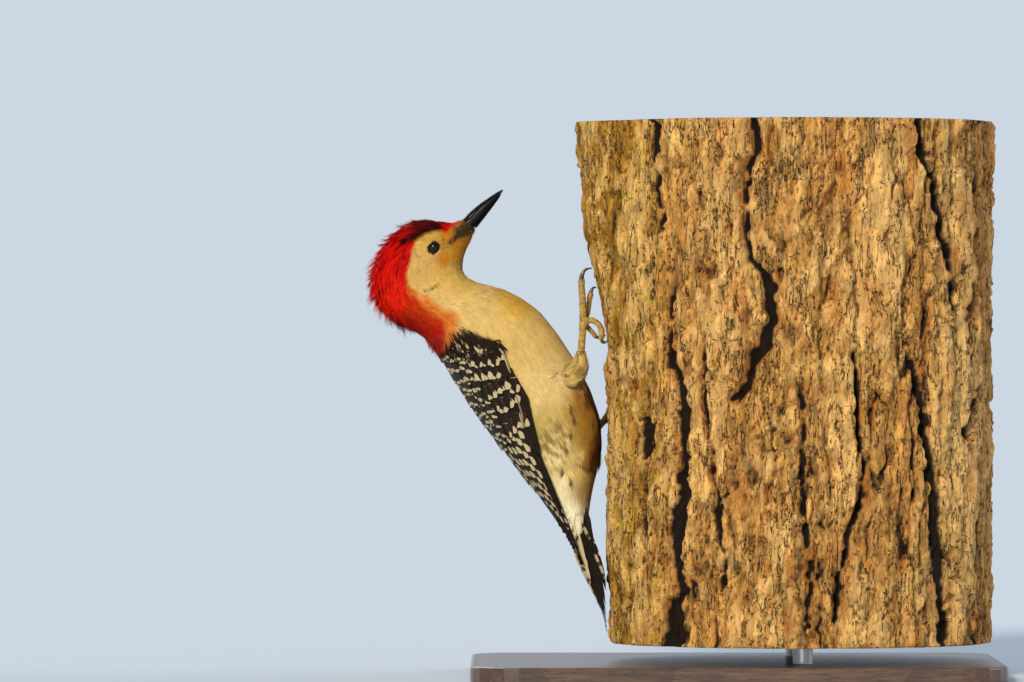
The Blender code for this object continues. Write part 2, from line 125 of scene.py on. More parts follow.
def spline(points, t):
    """Catmull-Rom through rows of a table, at t counted in rows."""
    points = np.asarray(points, float)
    t = np.clip(np.asarray(t, float), 0, len(points) - 1)
    i = np.minimum(t.astype(int), len(points) - 2)
    f = (t - i)[..., None]
    before, here = points[np.maximum(i - 1, 0)], points[i]
    there, after = points[i + 1], points[np.minimum(i + 2, len(points) - 1)]
    return 0.5 * (
        2 * here
        + (there - before) * f
        + (2 * before - 5 * here + 4 * there - after) * f**2
        + (3 * here - before - 3 * there + after) * f**3
    )


def unit(v):
    return v / np.maximum(np.linalg.norm(v, axis=-1, keepdims=True), 1e-9)


def hashed(cells, seed):
    """Numbers from 0 to 1 that depend on whole-number cells only."""
    h = np.full(cells.shape[:-1], seed * 2654435761 % 2**32, np.uint64)
    for k in range(cells.shape[-1]):
        h = (h ^ (cells[..., k].astype(np.int64).astype(np.uint64) & 0xFFFFFFFF)) * 0x9E3779B1 & 0xFFFFFFFF
        h ^= h >> 15
        h = h * 0x85EBCA6B & 0xFFFFFFFF
        h ^= h >> 13
    return h / 2**32


def noise(p, seed=0):
    """Smooth noise from 0 to 1, with cells one unit wide."""
    base = np.floor(p)
    f = p - base
    f = f * f * (3 - 2 * f)
    dims = p.shape[-1]
    total = 0
    for corner in range(2**dims):
        offset = np.array([corner >> k & 1 for k in range(dims)])
        weight = np.prod(np.where(offset, f, 1 - f), axis=-1)
        total = total + weight * hashed(base + offset, seed)
    return total


def cloud(p, octaves=4, seed=0):
    """Layered noise from 0 to 1."""
    total, size = 0, 0
    for k in range(octaves):
        total = total + noise(p * 2**k + 17.3 * k, seed + k) / 2**k
        size += 1 / 2**k
    return total / size


def cracks(p, wrap, seed=0):
    """Distance to the border between scattered cells, and each cell's number; they repeat after wrap."""
    base = np.floor(p)
    best = np.full(p.shape[:-1], 9.0)
    second = best.copy()
    cell = best.copy()
    for dx in (-1, 0, 1):
        for dy in (-1, 0, 1):
            at = base + (dx, dy)
            key = np.stack([at[..., 0] % wrap, at[..., 1]], -1)
            centre = at + np.stack([hashed(key, seed), hashed(key, seed + 1)], -1)
            d = np.linalg.norm(p - centre, axis=-1)
            nearer = d < best
            second = np.where(nearer, best, np.minimum(second, d))
            cell = np.where(nearer, hashed(key, seed + 2), cell)
            best = np.where(nearer, d, best)
    return second - best, cell


def side_distance(p, line):
    """Distance of 2D places to a polyline, positive on the left as one walks along it."""
    line = np.asarray(line, float)
    best, signed = np.full(len(p), 1e9), np.zeros(len(p))
    for a, b in zip(line, line[1:]):
        ab = b - a
        share = np.clip(((p - a) @ ab) / (ab @ ab), 0, 1)
        off = p - a - share[:, None] * ab
        d = np.linalg.norm(off, axis=1)
        sign = np.sign(ab[0] * (p[:, 1] - a[1]) - ab[1] * (p[:, 0] - a[0]))
        signed = np.where(d < best, sign * d, signed)
        best = np.minimum(best, d)
    return signed


# ---------------------------------------------------------------- mesh tools


def linked(name, data):
    """A new object, in the scene."""
    obj = bpy.data.objects.new(name, data)
    bpy.context.scene.collection.objects.link(obj)
    return obj


def add_colours(mesh, name, rows):
    """A colour attribute with one RGBA row for each point."""
    layer = mesh.color_attributes.new(name=name, type="FLOAT_COLOR", domain="POINT")
    layer.data.foreach_set("color", np.asarray(rows, np.float32).ravel())


def paint(obj, name, values):
    """Colours of an object's points; one number for each point becomes a grey."""
    values = np.asarray(values, np.float32)
    if values.ndim == 1:
        values = np.repeat(values[:, None], 3, 1)
    add_colours(obj.data, name, np.concatenate([values, np.ones((len(values), 1), np.float32)], 1))


def make_object(name, points, faces, *materials, face_uv=None, colours=None, normals=None):
    """A mesh object from bird-millimetre points and an array of faces that all have the same corner count.

    face_uv holds UV maps as {name: one pair for each face corner}, colours holds {name: RGBA for each point},
    and normals holds one shading normal for each point.
    """
    mesh = bpy.data.meshes.new(name)
    count, corners = faces.shape
    mesh.vertices.add(len(points))
    mesh.vertices.foreach_set("co", world(points).astype(np.float32).ravel())
    mesh.loops.add(faces.size)
    mesh.loops.foreach_set("vertex_index", faces.astype(np.int32).ravel())
    mesh.polygons.add(count)
    mesh.polygons.foreach_set("loop_start", np.arange(0, faces.size, corners, dtype=np.int32))
    mesh.update(calc_edges=True)
    mesh.validate()
    mesh.polygons.foreach_set("use_smooth", np.full(count, True))
    if normals is not None:
        mesh.normals_split_custom_set_from_vertices(normals)
    for map_name, pairs in (face_uv or {}).items():
        layer = mesh.uv_layers.new(name=map_name)
        layer.data.foreach_set("uv", np.asarray(pairs, np.float32).ravel())
    for attribute_name, rows in (colours or {}).items():
        add_colours(mesh, attribute_name, rows)
    for material in materials:
        mesh.materials.append(material)
    return linked(name, mesh)


def settle(obj, slot, *nodes):
    """The piece rides on the one body and stands for the CAD nodes named. slot is not used."""
    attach(obj, "root")
    if nodes:
        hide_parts(*nodes)


def remeshed(name, nodes, voxel, smoothing, material):
    """One closed surface round some CAD nodes, with their gaps and facets smoothed away."""
    raw = make_object(name + "_raw", *node_mesh(*nodes), material)
    remesh = raw.modifiers.new("join", "REMESH")
    remesh.mode = "VOXEL"
    remesh.voxel_size = voxel * MM
    smooth = raw.modifiers.new("smooth", "SMOOTH")
    smooth.factor = 0.5
    smooth.iterations = smoothing
    graph = bpy.context.evaluated_depsgraph_get()
    mesh = bpy.data.meshes.new_from_object(raw.evaluated_get(graph))
    mesh.name = name
    mesh.shade_smooth()
    bpy.data.objects.remove(raw)
    return linked(name, mesh)


def mesh_points(obj):
    return bird_mm(vertex_values(obj.data, "co"))


def mesh_normals(obj):
    return vertex_values(obj.data, "normal")


def move_points(obj, points):
    obj.data.vertices.foreach_set("co", world(points).astype(np.float32).ravel())
    obj.data.update()


class Sheet:
    """A smooth surface read from a grid of points at (row, column) places, with its slopes and normal."""

    def __init__(self, points, wraps):
        self.wraps = wraps
        along = np.gradient(points, axis=0)
        if wraps:
            across = (np.roll(points, -1, 1) - np.roll(points, 1, 1)) / 2
        else:
            across = np.gradient(points, axis=1)
        normal = unit(np.cross(along, across))
        if wraps:
            normal = normal * np.sign((normal * (points - points.mean(axis=1, keepdims=True))).sum())
        self.grid = np.concatenate([points, along, across, normal], axis=2)

    def read(self, row, column):
        rows, columns = self.grid.shape[:2]
        row = np.clip(row, 0, rows - 1.001)
        r = row.astype(int)
        fr = (row - r)[..., None]
        if self.wraps:
            c = np.floor(column).astype(int)
            fc = (column - c)[..., None]
            c, d = c % columns, (c + 1) % columns
        else:
            column = np.clip(column, 0, columns - 1.001)
            c = column.astype(int)
            fc = (column - c)[..., None]
            d = c + 1
        top = self.grid[r, c] * (1 - fc) + self.grid[r, d] * fc
        low = self.grid[r + 1, c] * (1 - fc) + self.grid[r + 1, d] * fc
        found = top * (1 - fr) + low * fr
        return found[..., :3], found[..., 3:6], found[..., 6:9], unit(found[..., 9:12])

    def step(self, row, column, along, across, heading):
        """Moves over the surface, in millimetres: along the rows turned by heading, and square to that."""
        _, d_row, d_column, _ = self.read(row, column)
        down = along * np.cos(heading) - across * np.sin(heading)
        side = along * np.sin(heading) + across * np.cos(heading)
        row = row + down / np.maximum(np.linalg.norm(d_row, axis=-1), 0.02)
        return row, column + side / np.maximum(np.linalg.norm(d_column, axis=-1), 0.02)


# ---------------------------------------------------------------- body surface

CHIN = np.array((-66.4, 0.0, 198.8))
GUIDES = (  # back (x, z), front (x, z): sections of the bird from the base of its bill to its tail
    (-73.4, 205.4, -65.0, 201.5),
    (-86.5, 205.2, -69.6, 193.0),
    (-104.0, 201.0, -72.2, 184.2),
    (-117.6, 178.5, -70.5, 177.8),
    (-109.3, 157.6, -61.5, 173.8),
    (-86.0, 143.4, -43.5, 167.3),
    (-68.8, 115.4, -21.2, 143.8),
    (-48.0, 86.4, -3.8, 108.6),
    (-30.0, 64.4, -5.2, 79.6),
    (-16.6, 46.4, -10.6, 49.4),
    (-14.4, 41.0, -9.6, 43.6),
    (-12.2, 35.0, -8.2, 37.4),
)
ROWS_PER_GUIDE = 20
COVERT_GUIDES = (8.7, 9.3)  # between these guides the flesh ends, and coverts lie on over the tail's base
COVERT_HALF_WIDTH = ((160, 9.5), (180, 6.4), (200, 5.2), (220, 3.6))  # row, half width
OVERHANG = 4.5  # parts that stand out up to this far over the usual surface count as surface


def filled(values, holes, rounds=80):
    """Holes of a grid take on the mean of their neighbours, again and again."""
    values = np.where(holes, np.nanmedian(values), values)
    for _ in range(rounds):
        mean = (np.roll(values, 1, 1) + np.roll(values, -1, 1)) / 2
        padded = np.pad(values, ((1, 1), (0, 0)), mode="edge")
        mean = (mean + (padded[:-2] + padded[2:]) / 2) / 2
        values = np.where(holes, mean, values)
    return values


def blurred(values, rounds):
    for _ in range(rounds):
        values = (2 * values + np.roll(values, 1, 1) + np.roll(values, -1, 1)) / 4
        padded = np.pad(values, ((1, 1), (0, 0)), mode="edge")
        values = (2 * values + padded[:-2] + padded[2:]) / 4
    return values


def tree_of(*nodes):
    points, triangles = node_mesh(*nodes)
    return BVHTree.FromPolygons([Vector(p) for p in points], triangles.tolist())


def cast(tree, starts, rays, limit):
    """How far each ray runs to the surface; nan where it meets none. Each row of rays may share one start."""
    reach = np.full(rays.shape[:2], np.nan)
    starts = np.broadcast_to(starts[:, None] if starts.ndim == 2 else starts, rays.shape)
    for i, j in np.ndindex(reach.shape):
        distance = tree.ray_cast(Vector(starts[i, j]), Vector(rays[i, j]), limit)[3]
        if distance is not None:
            reach[i, j] = distance
    return reach


def chin_tucked(points):
    """Points of the head, with the chin drawn back under the bill's base."""
    off = points - CHIN
    near_chin = np.exp(-(off[..., 0] ** 2 + off[..., 2] ** 2) / 2.8**2)
    return points - near_chin[..., None] * (1.3, 0.0, 0.0)


SEARCH_LIMIT = 60.0  # the flesh lies within this of its middle line
EYE_MARGIN = 1.4  # places this close to an eye are filled in from round it


def spokes(first, second, angle):
    """Rays round an axis at some angles, which turn from the first direction to the second."""
    angle = angle[None, :, None]
    return first[:, None] * np.cos(angle) + second[:, None] * np.sin(angle)


def over_tail(reach, half, angle):
    """Past the end of the flesh, sections become ovals that lie over the tail's base."""
    rows = np.arange(len(reach))
    wide = table(rows, COVERT_HALF_WIDTH)[:, None]
    oval = 1 / np.hypot(np.cos(angle) / half, np.sin(angle) / wide)
    share = ramp(rows / ROWS_PER_GUIDE, *COVERT_GUIDES)[:, None]
    return reach * (1 - share) + oval * share


def measure(nodes, guides, columns, jump, coverts=False):
    """CAD nodes as one sheet: rows follow the guides and columns run round from the back, right side first.

    A place that stands out from its smoothed surroundings by more than the jump's share is filled in anew.
    """
    rows = (len(guides) - 1) * ROWS_PER_GUIDE + 1
    guides = spline(guides, np.linspace(0, len(guides) - 1, rows))
    back = np.stack([guides[:, 0], np.zeros(rows), guides[:, 1]], 1)
    front = np.stack([guides[:, 2], np.zeros(rows), guides[:, 3]], 1)
    centre, up = (back + front) / 2, unit(back - front)
    angle = np.arange(columns) * 2 * np.pi / columns
    rays = spokes(up, np.broadcast_to((0.0, -1.0, 0.0), up.shape), angle)
    tree = tree_of(*nodes)
    inner = cast(tree, centre, rays, SEARCH_LIMIT)
    usual = blurred(filled(inner, np.isnan(inner)), 6)
    start = usual + OVERHANG
    reach = start - cast(tree, centre[:, None] + rays * start[..., None], -rays, OVERHANG + 4)
    holes = np.isnan(reach) | (np.abs(reach - usual) > jump * usual)
    hit = centre[:, None] + rays * np.nan_to_num(reach)[..., None]
    for y_sign in (1, -1):
        holes |= np.linalg.norm(hit - EYE * (1, y_sign, 1), axis=2) < EYE_RADIUS + EYE_MARGIN
    reach = blurred(filled(reach, holes), 2)
    if coverts:
        reach = over_tail(reach, np.linalg.norm(back - front, axis=1)[:, None] / 2, angle)
    return Sheet(chin_tucked(centre[:, None] + rays * reach[..., None]), wraps=True)


BODY_COLUMNS, BODY_JUMP = 120, 0.22
body = measure(("head", "neck", "trunk"), GUIDES, BODY_COLUMNS, BODY_JUMP, coverts=True)

# ---------------------------------------------------------------- wing surface

WING_ROWS_TABLE = (  # where both wings meet on the back (x, z), and the wing's lower edge (x, y, z)
    (-87.8, 142.7, -59.0, -17.6, 149.6),
    (-82.3, 134.7, -50.6, -21.4, 140.4),
    (-74.5, 122.2, -45.6, -22.2, 128.5),
    (-66.3, 109.3, -41.0, -22.5, 116.5),
    (-57.2, 96.8, -36.6, -21.2, 103.0),
    (-48.0, 83.6, -31.2, -18.8, 86.5),
    (-38.8, 71.6, -25.0, -15.8, 70.0),
    (-29.6, 59.6, -19.6, -12.4, 56.0),
    (-21.4, 47.8, -15.0, -9.4, 43.6),
    (-12.4, 32.6, -11.6, -6.4, 31.8),
)
WING_ROWS, WING_COLUMNS, WING_REACH = 181, 141, 1.15
ROWS_PER_WING_STEP = (WING_ROWS - 1) / (len(WING_ROWS_TABLE) - 1)
WING_SHOULDER = 0.16  # how far the section's round shoulder stands out past the straight line


def lay_wings():
    """Wings and mantle as one sheet: columns run from the left lower edge over the back to the right one."""
    t = np.linspace(0, len(WING_ROWS_TABLE) - 1, WING_ROWS)
    rows = spline(WING_ROWS_TABLE, t)
    zero = np.zeros(WING_ROWS)
    top = np.stack([rows[:, 0], zero, rows[:, 1]], 1)[:, None]
    edge = rows[:, 2:][:, None]
    shoulder = top + (edge - top) * (0.22, 0, 0.22) + (edge - top) * (0, 1 + WING_SHOULDER, 0)
    u = np.linspace(-WING_REACH, WING_REACH, WING_COLUMNS)
    s = np.minimum(np.abs(u), 1)[None, :, None]
    points = (1 - s) ** 2 * top + 2 * s * (1 - s) * shoulder + s**2 * edge
    past = np.maximum(np.abs(u) - 1, 0)[None, :, None]
    points = points + past * 2 * (edge - shoulder)
    points[..., 1] *= np.sign(u)
    return Sheet(points, wraps=False)


wings = lay_wings()


def wing_place(t, u):
    """Grid row and column t steps from the shoulder and u of the way from back, 0, to lower edge, 1."""
    return np.asarray(t) * ROWS_PER_WING_STEP, (np.asarray(u) / WING_REACH + 1) / 2 * (WING_COLUMNS - 1)


# ---------------------------------------------------------------- markings
# Places here are (x, z), the same on both sides of the bird.

WING_INK = (0.013, 0.0072, 0.0036)
WING_PALE = (0.66, 0.52, 0.29)

CROWN_EDGE = (  # red above it, cream below: from the bill over the eye, round the ear and down the neck
    (-74.6, 208.0),
    (-74.9, 204.6),
    (-77.2, 201.4),
    (-79.5, 199.5),
    (-87.0, 200.5),
    (-92.0, 198.0),
    (-95.5, 195.0),
    (-97.5, 189.5),
    (-100.2, 178.5),
    (-99.5, 173.5),
    (-96.5, 169.0),
    (-91.0, 166.5),
    (-85.5, 161.0),
    (-77.5, 157.5),
    (-77.5, 140.0),
)
RED_TINTS = (  # place, reach, colour
    ("forehead", (-76.5, 204.0), 5.0, (0.95, 0.010, 0.001)),
    # crown and brow: their dark reds are painted shade, on the head's top and over the eye
    ("crown", (-88.0, 206.0), 7.0, (0.13, 0.0015, 0.0008)),
    ("brow", (-94.0, 199.0), 4.0, (0.055, 0.0015, 0.0008)),
    ("hind crown", (-105.0, 198.0), 7.0, (0.46, 0.002, 0.001)),
    ("nape", (-113.0, 184.0), 11.0, (0.72, 0.004, 0.001)),
    ("ear edge", (-101.0, 184.0), 4.0, (0.46, 0.004, 0.001)),
    ("low nape", (-104.0, 170.0), 7.0, (0.70, 0.012, 0.001)),
    ("neck side", (-92.0, 161.0), 6.0, (0.50, 0.036, 0.002)),
    ("hind neck", (-97.0, 151.0), 7.0, (0.36, 0.006, 0.001)),
)
CREAM_TINTS = (
    ("lore", (-77.0, 198.0), 3.5, (0.53, 0.18, 0.008)),
    ("bill base", (-72.5, 204.0), 2.2, (0.58, 0.22, 0.010)),
    ("chin", (-71.5, 191.5), 3.0, (0.56, 0.24, 0.010)),
    ("malar", (-82.0, 184.5), 2.6, (0.56, 0.18, 0.005)),
    ("jaw", (-76.0, 188.0), 3.0, (0.56, 0.29, 0.024)),
    ("supercilium", (-90.0, 196.5), 3.5, (0.56, 0.33, 0.053)),
    ("ear", (-93.0, 184.0), 6.0, (0.56, 0.33, 0.087)),
    ("throat", (-79.0, 176.0), 7.0, (0.60, 0.37, 0.082)),
    ("neck side", (-82.0, 163.0), 7.0, (0.61, 0.40, 0.126)),
    ("breast top", (-60.0, 160.0), 8.0, (0.63, 0.41, 0.126)),
    ("breast edge", (-47.0, 165.0), 6.0, (0.60, 0.34, 0.034)),
    ("breast", (-48.0, 137.0), 14.0, (0.61, 0.40, 0.116)),
    ("low breast", (-32.0, 124.0), 10.0, (0.68, 0.48, 0.184)),
    ("flank", (-27.0, 100.0), 10.0, (0.51, 0.35, 0.097)),
    ("belly", (-13.0, 104.0), 8.0, (0.30, 0.150, 0.014)),
    ("vent", (-21.0, 80.0), 8.0, (0.70, 0.50, 0.165)),
    ("white edge", (-23.5, 73.0), 4.5, (0.90, 0.78, 0.50)),
    ("undertail", (-20.5, 60.0), 7.0, (0.92, 0.82, 0.54)),
    ("vent front", (-12.0, 70.0), 6.0, (0.40, 0.25, 0.060)),
)
BELLY_PATCH = ((-11.0, 119.0), (-4.5, 108.0), (-3.0, 98.0), (-6.0, 84.0))
SHOULDER_EDGE = (  # dark below and behind, where the wing's top meets the neck
    (-86.0, 136.0),
    (-81.0, 140.7),
    (-76.0, 147.0),
    (-71.5, 150.0),
    (-67.0, 150.4),
    (-61.5, 148.5),
    (-57.0, 146.0),
    (-54.0, 142.5),
    (-52.5, 139.0),
)
CHEVRONS = ((-18.0, 110.5), (-16.6, 105.0), (-18.2, 98.0), (-20.5, 90.0), (-22.5, 79.0), (-18.0, 74.0))
SKIRT = ((-19.0, 85.0), (-12.0, 83.0), (-3.0, 79.0))  # where the belly's feathers end over the vent, with painted shadow just below
NOSE_PATCH = ((-66.0, 202.2), (-69.5, 202.4), (-72.2, 200.2))
# painted shade along a crease of the feathers under the ear
EAR_CREASE = ((-91.0, 170.2), (-88.0, 171.0), (-84.5, 173.6))
GAPE_LINE = ((-71.0, 201.0), (-74.5, 197.6), (-78.0, 194.3))
BROW_SHADOW = ((-102.0, 194.6), (-97.5, 196.6), (-91.5, 199.9), (-85.0, 202.0))


def tint(places, spots):
    """Colour at (x, z) places, blended from the nearest spots of a table."""
    total, weight = np.zeros((len(places), 3)), np.full(len(places), 1e-9)
    for _, at, reach, colour in spots:
        away = np.linalg.norm(places - at, axis=1)
        w = np.exp(-((away / reach) ** 2)) + 0.02 / (1 + away)
        total += w[:, None] * colour
        weight += w
    return total / weight[:, None]


EDGE_SOFTNESS = ((158, 5.5), (167, 3.0), (176, 0.9), (210, 0.7))  # height, half width of the change to cream
FRINGE = np.array((0.64, 0.165, 0.010))  # the orange between red and cream
BELLY_TINT_AND_SHADE = ((11.0, (0.45, 0.17, 0.010)), (6.6, (0.070, 0.016, 0.001)))  # width of the patch, colour: the wide one is the patch's red-brown, the narrow dark one painted shade where the belly turns to the trunk
HEAD_LINES = (  # line, width, colour, strength
    (EAR_CREASE, 1.0, (0.14, 0.05, 0.006), 1.1),
    (GAPE_LINE, 2.4, (0.040, 0.025, 0.009), 1.25),
    (NOSE_PATCH, 6.6, (0.040, 0.030, 0.012), 1.60),
    (BROW_SHADOW, 3.2, (0.014, 0.0015, 0.001), 1.05),
)
FLANK = ((-26, 93), (9, 15))  # middle and half sizes of the barred oval
# the dusky colour serves the flank's bars and the painted shadow under the belly's feathers
FLANK_PALE, FLANK_DUSK_AND_SHADE = (0.72, 0.57, 0.30), (0.055, 0.030, 0.010)
CHEEK = ((-77.0, 189.0), (6.5, 9.0))  # middle and half sizes of the flecked oval
CHEEK_FLECK = (0.62, 0.19, 0.006)


def near(places, line, width):
    """1 on a line, 0 beyond its width."""
    return 1 - ramp(np.abs(side_distance(places, line)), 0, width)


def oval_distance(places, oval):
    """Distance to an oval's middle as a share of its half sizes."""
    (x, z), (half_x, half_z) = oval
    return np.hypot((places[:, 0] - x) / half_x, (places[:, 1] - z) / half_z)


def toward(colour, other, share):
    """Rows of colour, moved a share of the way to another colour."""
    return colour + (np.array(other) - colour) * share[:, None]


def red_and_cream(points, places, wobble):
    """Red above and behind the crown's edge, cream below it, and an orange fringe between."""
    softness = table(points[:, 2], EDGE_SOFTNESS)
    edge = side_distance(places, CROWN_EDGE) + wobble * np.minimum(softness, 1.6)
    creamness = ramp(edge, -softness, softness)[:, None]
    colour = tint(places, RED_TINTS) * (1 - creamness) + tint(places, CREAM_TINTS) * creamness
    between = np.clip(creamness * (1 - creamness) * 4, 0, 1) * 0.75
    return colour * (1 - between) + FRINGE * np.where(points[:, 2:] > 170, 0.8, 1.0) * between


def belly_red(colour, points, places):
    """The streaky red-brown patch between the legs, darkened along its line with painted shade where the
    belly turns to the trunk.
    """
    streaky = ramp(cloud(points / (3.0, 3.0, 9.0), 3, 9), 0.25, 0.55)
    for width, patch in BELLY_TINT_AND_SHADE:
        colour = toward(colour, patch, near(places, BELLY_PATCH, width) ** 0.7 * streaky)
    return colour


def head_lines(colour, points, places):
    """Dark lines of the head and the patch at the nostril, broken up by fine speckles. The ear's crease is
    painted shade, the brow's line painted shadow.
    """
    speckle = cloud(points / (1.3, 1.3, 1.3), 3, 37) - 0.5
    for line, width, dark, strength in HEAD_LINES:
        share = np.clip(near(places, line, width) * (0.9 + 1.2 * speckle), 0, 1) * strength
        colour = toward(colour, dark, np.minimum(share, 1))
    return colour


def flank_marks(colour, points, places):
    """Pale and dusky flank bars, chevrons on the vent, and painted shadow under the ends of the belly's
    feathers.
    """
    flank = ramp(oval_distance(places, FLANK), 1.2, 0.5) * ramp(np.abs(points[:, 1]), 3, 8)
    bars = cloud(points / (2.4, 3.0, 1.7), 3, 31)
    colour = toward(colour, FLANK_PALE, flank * ramp(bars, 0.55, 0.62))
    dusk = flank * ramp(bars, 0.49, 0.42) * 0.62
    for at in CHEVRONS:
        spot = oval_distance(places, (at, (0.95, 2.3))) + 1.4 * (bars - 0.5)
        dusk = np.maximum(dusk, 0.85 * ramp(spot, 1.15, 0.75))
    below = side_distance(places, SKIRT)
    # painted shadow just below where the belly's feathers end
    shade = 0.85 * ramp(places[:, 0], -19, -12) * ramp(below, -3.0, -0.3) * ramp(below, 0.8, 0)
    return toward(colour, FLANK_DUSK_AND_SHADE, np.maximum(dusk, shade))


def cheek_flecks(colour, points, places):
    """Orange flecks behind the bill, on the cream side only."""
    flecks = ramp(cloud(points / (1.7, 1.7, 2.6), 3, 83), 0.50, 0.66)
    flecks = flecks * ramp(side_distance(places, CROWN_EDGE), 0.5, 2.0)
    return toward(colour, CHEEK_FLECK, flecks * ramp(oval_distance(places, CHEEK), 1.1, 0.5) * 0.8)


def body_colour(points):
    """Colour of skin and coat at bird points, as rows of RGB."""
    places = points[:, (0, 2)]
    wobble = (cloud(points / 3.1, 3, 5) - 0.5) * 2.4
    colour = red_and_cream(points, places, wobble)
    for marking in (belly_red, head_lines, flank_marks):
        colour = marking(colour, points, places)
    shoulder = ramp(side_distance(places, SHOULDER_EDGE) + 1.5 * wobble, 1.0, -1.0) * (points[:, 2] > 134)
    colour = toward(colour, np.array(WING_INK) * 1.5, shoulder)
    colour = cheek_flecks(colour, points, places)
    mottle = 0.5 * cloud(points / 6.0, 3, 21) + 0.5 * cloud(points / (1.5, 1.5, 2.6), 2, 24)
    return colour * (0.78 + 0.44 * mottle[:, None])


# ---------------------------------------------------------------- coat of small feathers
# A tuft is one small feather: a fan of narrow closed blades that follows the surface from its root.

COAT = (  # name, place, reach, length, spacing, lift of the tip, blade width
    ("lore", (-76.0, 197.0), 4.0, 2.4, 0.72, 0.03, 0.28),
    ("eye rim", (-86.0, 192.0), 4.5, 2.2, 0.72, 0.02, 0.28),
    ("cheek", (-90.0, 181.0), 6.0, 4.6, 0.86, 0.03, 0.31),
    ("chin", (-72.0, 189.0), 4.0, 3.6, 0.90, 0.03, 0.30),
    ("crown", (-86.0, 206.0), 8.0, 4.2, 1.10, 0.70, 0.30),
    ("hind crown", (-103.0, 201.0), 7.0, 5.2, 1.22, 2.60, 0.32),
    ("nape", (-115.0, 182.0), 10.0, 6.8, 1.34, 3.70, 0.32),
    ("low nape", (-108.0, 168.0), 7.0, 7.4, 1.34, 4.20, 0.32),
    ("neck", (-88.0, 157.0), 6.0, 6.4, 1.40, 0.40, 0.32),
    ("throat", (-74.0, 176.0), 6.0, 6.0, 0.98, 0.04, 0.32),
    ("breast", (-52.0, 148.0), 14.0, 9.0, 1.25, 0.04, 0.32),
    ("belly", (-20.0, 110.0), 12.0, 9.0, 1.50, 0.15, 0.34),
    ("vent", (-20.0, 76.0), 10.0, 9.0, 1.70, 0.20, 0.34),
    ("undertail", (-14.0, 54.0), 8.0, 8.0, 1.60, 0.05, 0.30),
)
SKIN_DEPTH = 0.6
ROOT_DEPTH = 0.4
SIDE_SHADE = 0.60  # how far a blade's edges are shaded as if they turned aside
COVERT_END = 50.0  # no feather is rooted below this height


def coat_at(places):
    """Length, spacing, lift and blade width of the coat at (x, z) places."""
    total, weight = np.zeros((len(places), 4)), np.zeros((len(places), 1))
    for _, at, reach, *values in COAT:
        w = np.exp(-((np.linalg.norm(places - at, axis=1) / reach) ** 2))[:, None] + 1e-6
        total += w * np.array(values)
        weight += w
    return (total / weight).T


def scatter(sheet, tries, spacing_at, keep):
    """Roots spread evenly over a sheet, at least the local spacing apart: rows, columns and points."""
    rows, columns = sheet.grid.shape[:2]
    cell = np.linalg.norm(np.cross(sheet.grid[..., 3:6], sheet.grid[..., 6:9]), axis=2).ravel()
    pick = rng.choice(rows * columns, size=tries, p=cell / cell.sum())
    row = np.clip(pick // columns + rng.random(tries) - 0.5, 0, rows - 1.01)
    column = pick % columns + rng.random(tries) - 0.5
    point, _, _, normal = sheet.read(row, column)
    kept = keep(point, normal)
    row, column, point = row[kept], column[kept], point[kept]
    spacing = spacing_at(point)
    boxes, chosen = {}, []
    cells = np.floor(point / 2.5).astype(int)
    for i, (p, s, key) in enumerate(zip(point, spacing, map(tuple, cells))):
        if all(
            (p - q) @ (p - q) > s * s
            for dx in (-1, 0, 1)
            for dy in (-1, 0, 1)
            for dz in (-1, 0, 1)
            for q in boxes.get((key[0] + dx, key[1] + dy, key[2] + dz), ())
        ):
            boxes.setdefault(key, []).append(p)
            chosen.append(i)
    return row[chosen], column[chosen], point[chosen]


RING_SHARES = (0.0, 0.38, 0.74, 1.0)  # places of a blade's rings along its length
RING_WIDTHS = np.array((0.7, 1.0, 0.75, 0.12))  # shares of its width there
POINT_SHARES = np.repeat(RING_SHARES, (3, 3, 3, 1))  # a blade's points: three rings of three, and its tip
BLADE_POINTS = len(POINT_SHARES)


def blade_triangles():
    """Triangles of one closed blade."""
    sides = ((0, 1), (1, 2), (2, 0))
    triangles = [(0, 2, 1)]
    for k in (0, 3):
        for a, b in sides:
            triangles += [(k + a, k + b, k + 3 + b), (k + a, k + 3 + b, k + 3 + a)]
    triangles += [(6 + a, 6 + b, 9) for a, b in sides]
    return np.array(triangles)[:, ::-1]


def blade_lines(sheet, row, column, look, fan):
    """Middle lines of the blades of all tufts, and the sheet's normals under them."""
    length, lift, width, spread, heading = (
        look[k][:, None] for k in ("length", "lift", "width", "spread", "heading")
    )
    tufts, blades = fan.shape
    length = length * (1 - 0.22 * fan**2) * rng.uniform(0.86, 1.12, fan.shape)
    turn = heading + fan * spread
    r, c = np.repeat(row[:, None], blades, 1), np.repeat(column[:, None], blades, 1)
    r, c = sheet.step(r, c, np.zeros_like(r), fan * width * 1.3, heading)
    lift = lift * rng.uniform(0.55, 1.35, (tufts, 1)) * rng.uniform(0.8, 1.2, fan.shape)
    spine, normals = [], []
    for share, s in zip(np.diff(RING_SHARES, prepend=0.0), RING_SHARES):
        r, c = sheet.step(r, c, length * share, np.zeros_like(r), turn * (1.15 - 0.5 * s))
        point, _, _, normal = sheet.read(r, c)
        height = -ROOT_DEPTH + (ROOT_DEPTH + 0.1) * (1 - (1 - s) ** 2) + lift * s**2
        spine.append(point + normal * height[..., None])
        normals.append(normal)
    return np.stack(spine, 2), np.stack(normals, 2)


def blade_shapes(spine, normals, width):
    """Points of three-sided blades round their middle lines, and the way in which each point is shaded."""
    along = unit(np.gradient(spine, axis=2))
    side = unit(np.cross(along, normals))
    up = np.cross(side, along)
    across = width[:, None, None, None] * RING_WIDTHS[:, None]
    rings = np.stack([spine - side * across / 2, spine + side * across / 2, spine + up * across * 0.15], 3)
    turned = np.array((-SIDE_SHADE, SIDE_SHADE, 0.0))[:, None]
    facing = unit(up[:, :, :, None] + side[:, :, :, None] * turned)
    flat = (*spine.shape[:2], 9, 3)
    points = np.concatenate([rings[:, :, :3].reshape(flat), spine[:, :, 3:]], 2)
    return points, np.concatenate([facing[:, :, :3].reshape(flat), up[:, :, 3:]], 2)


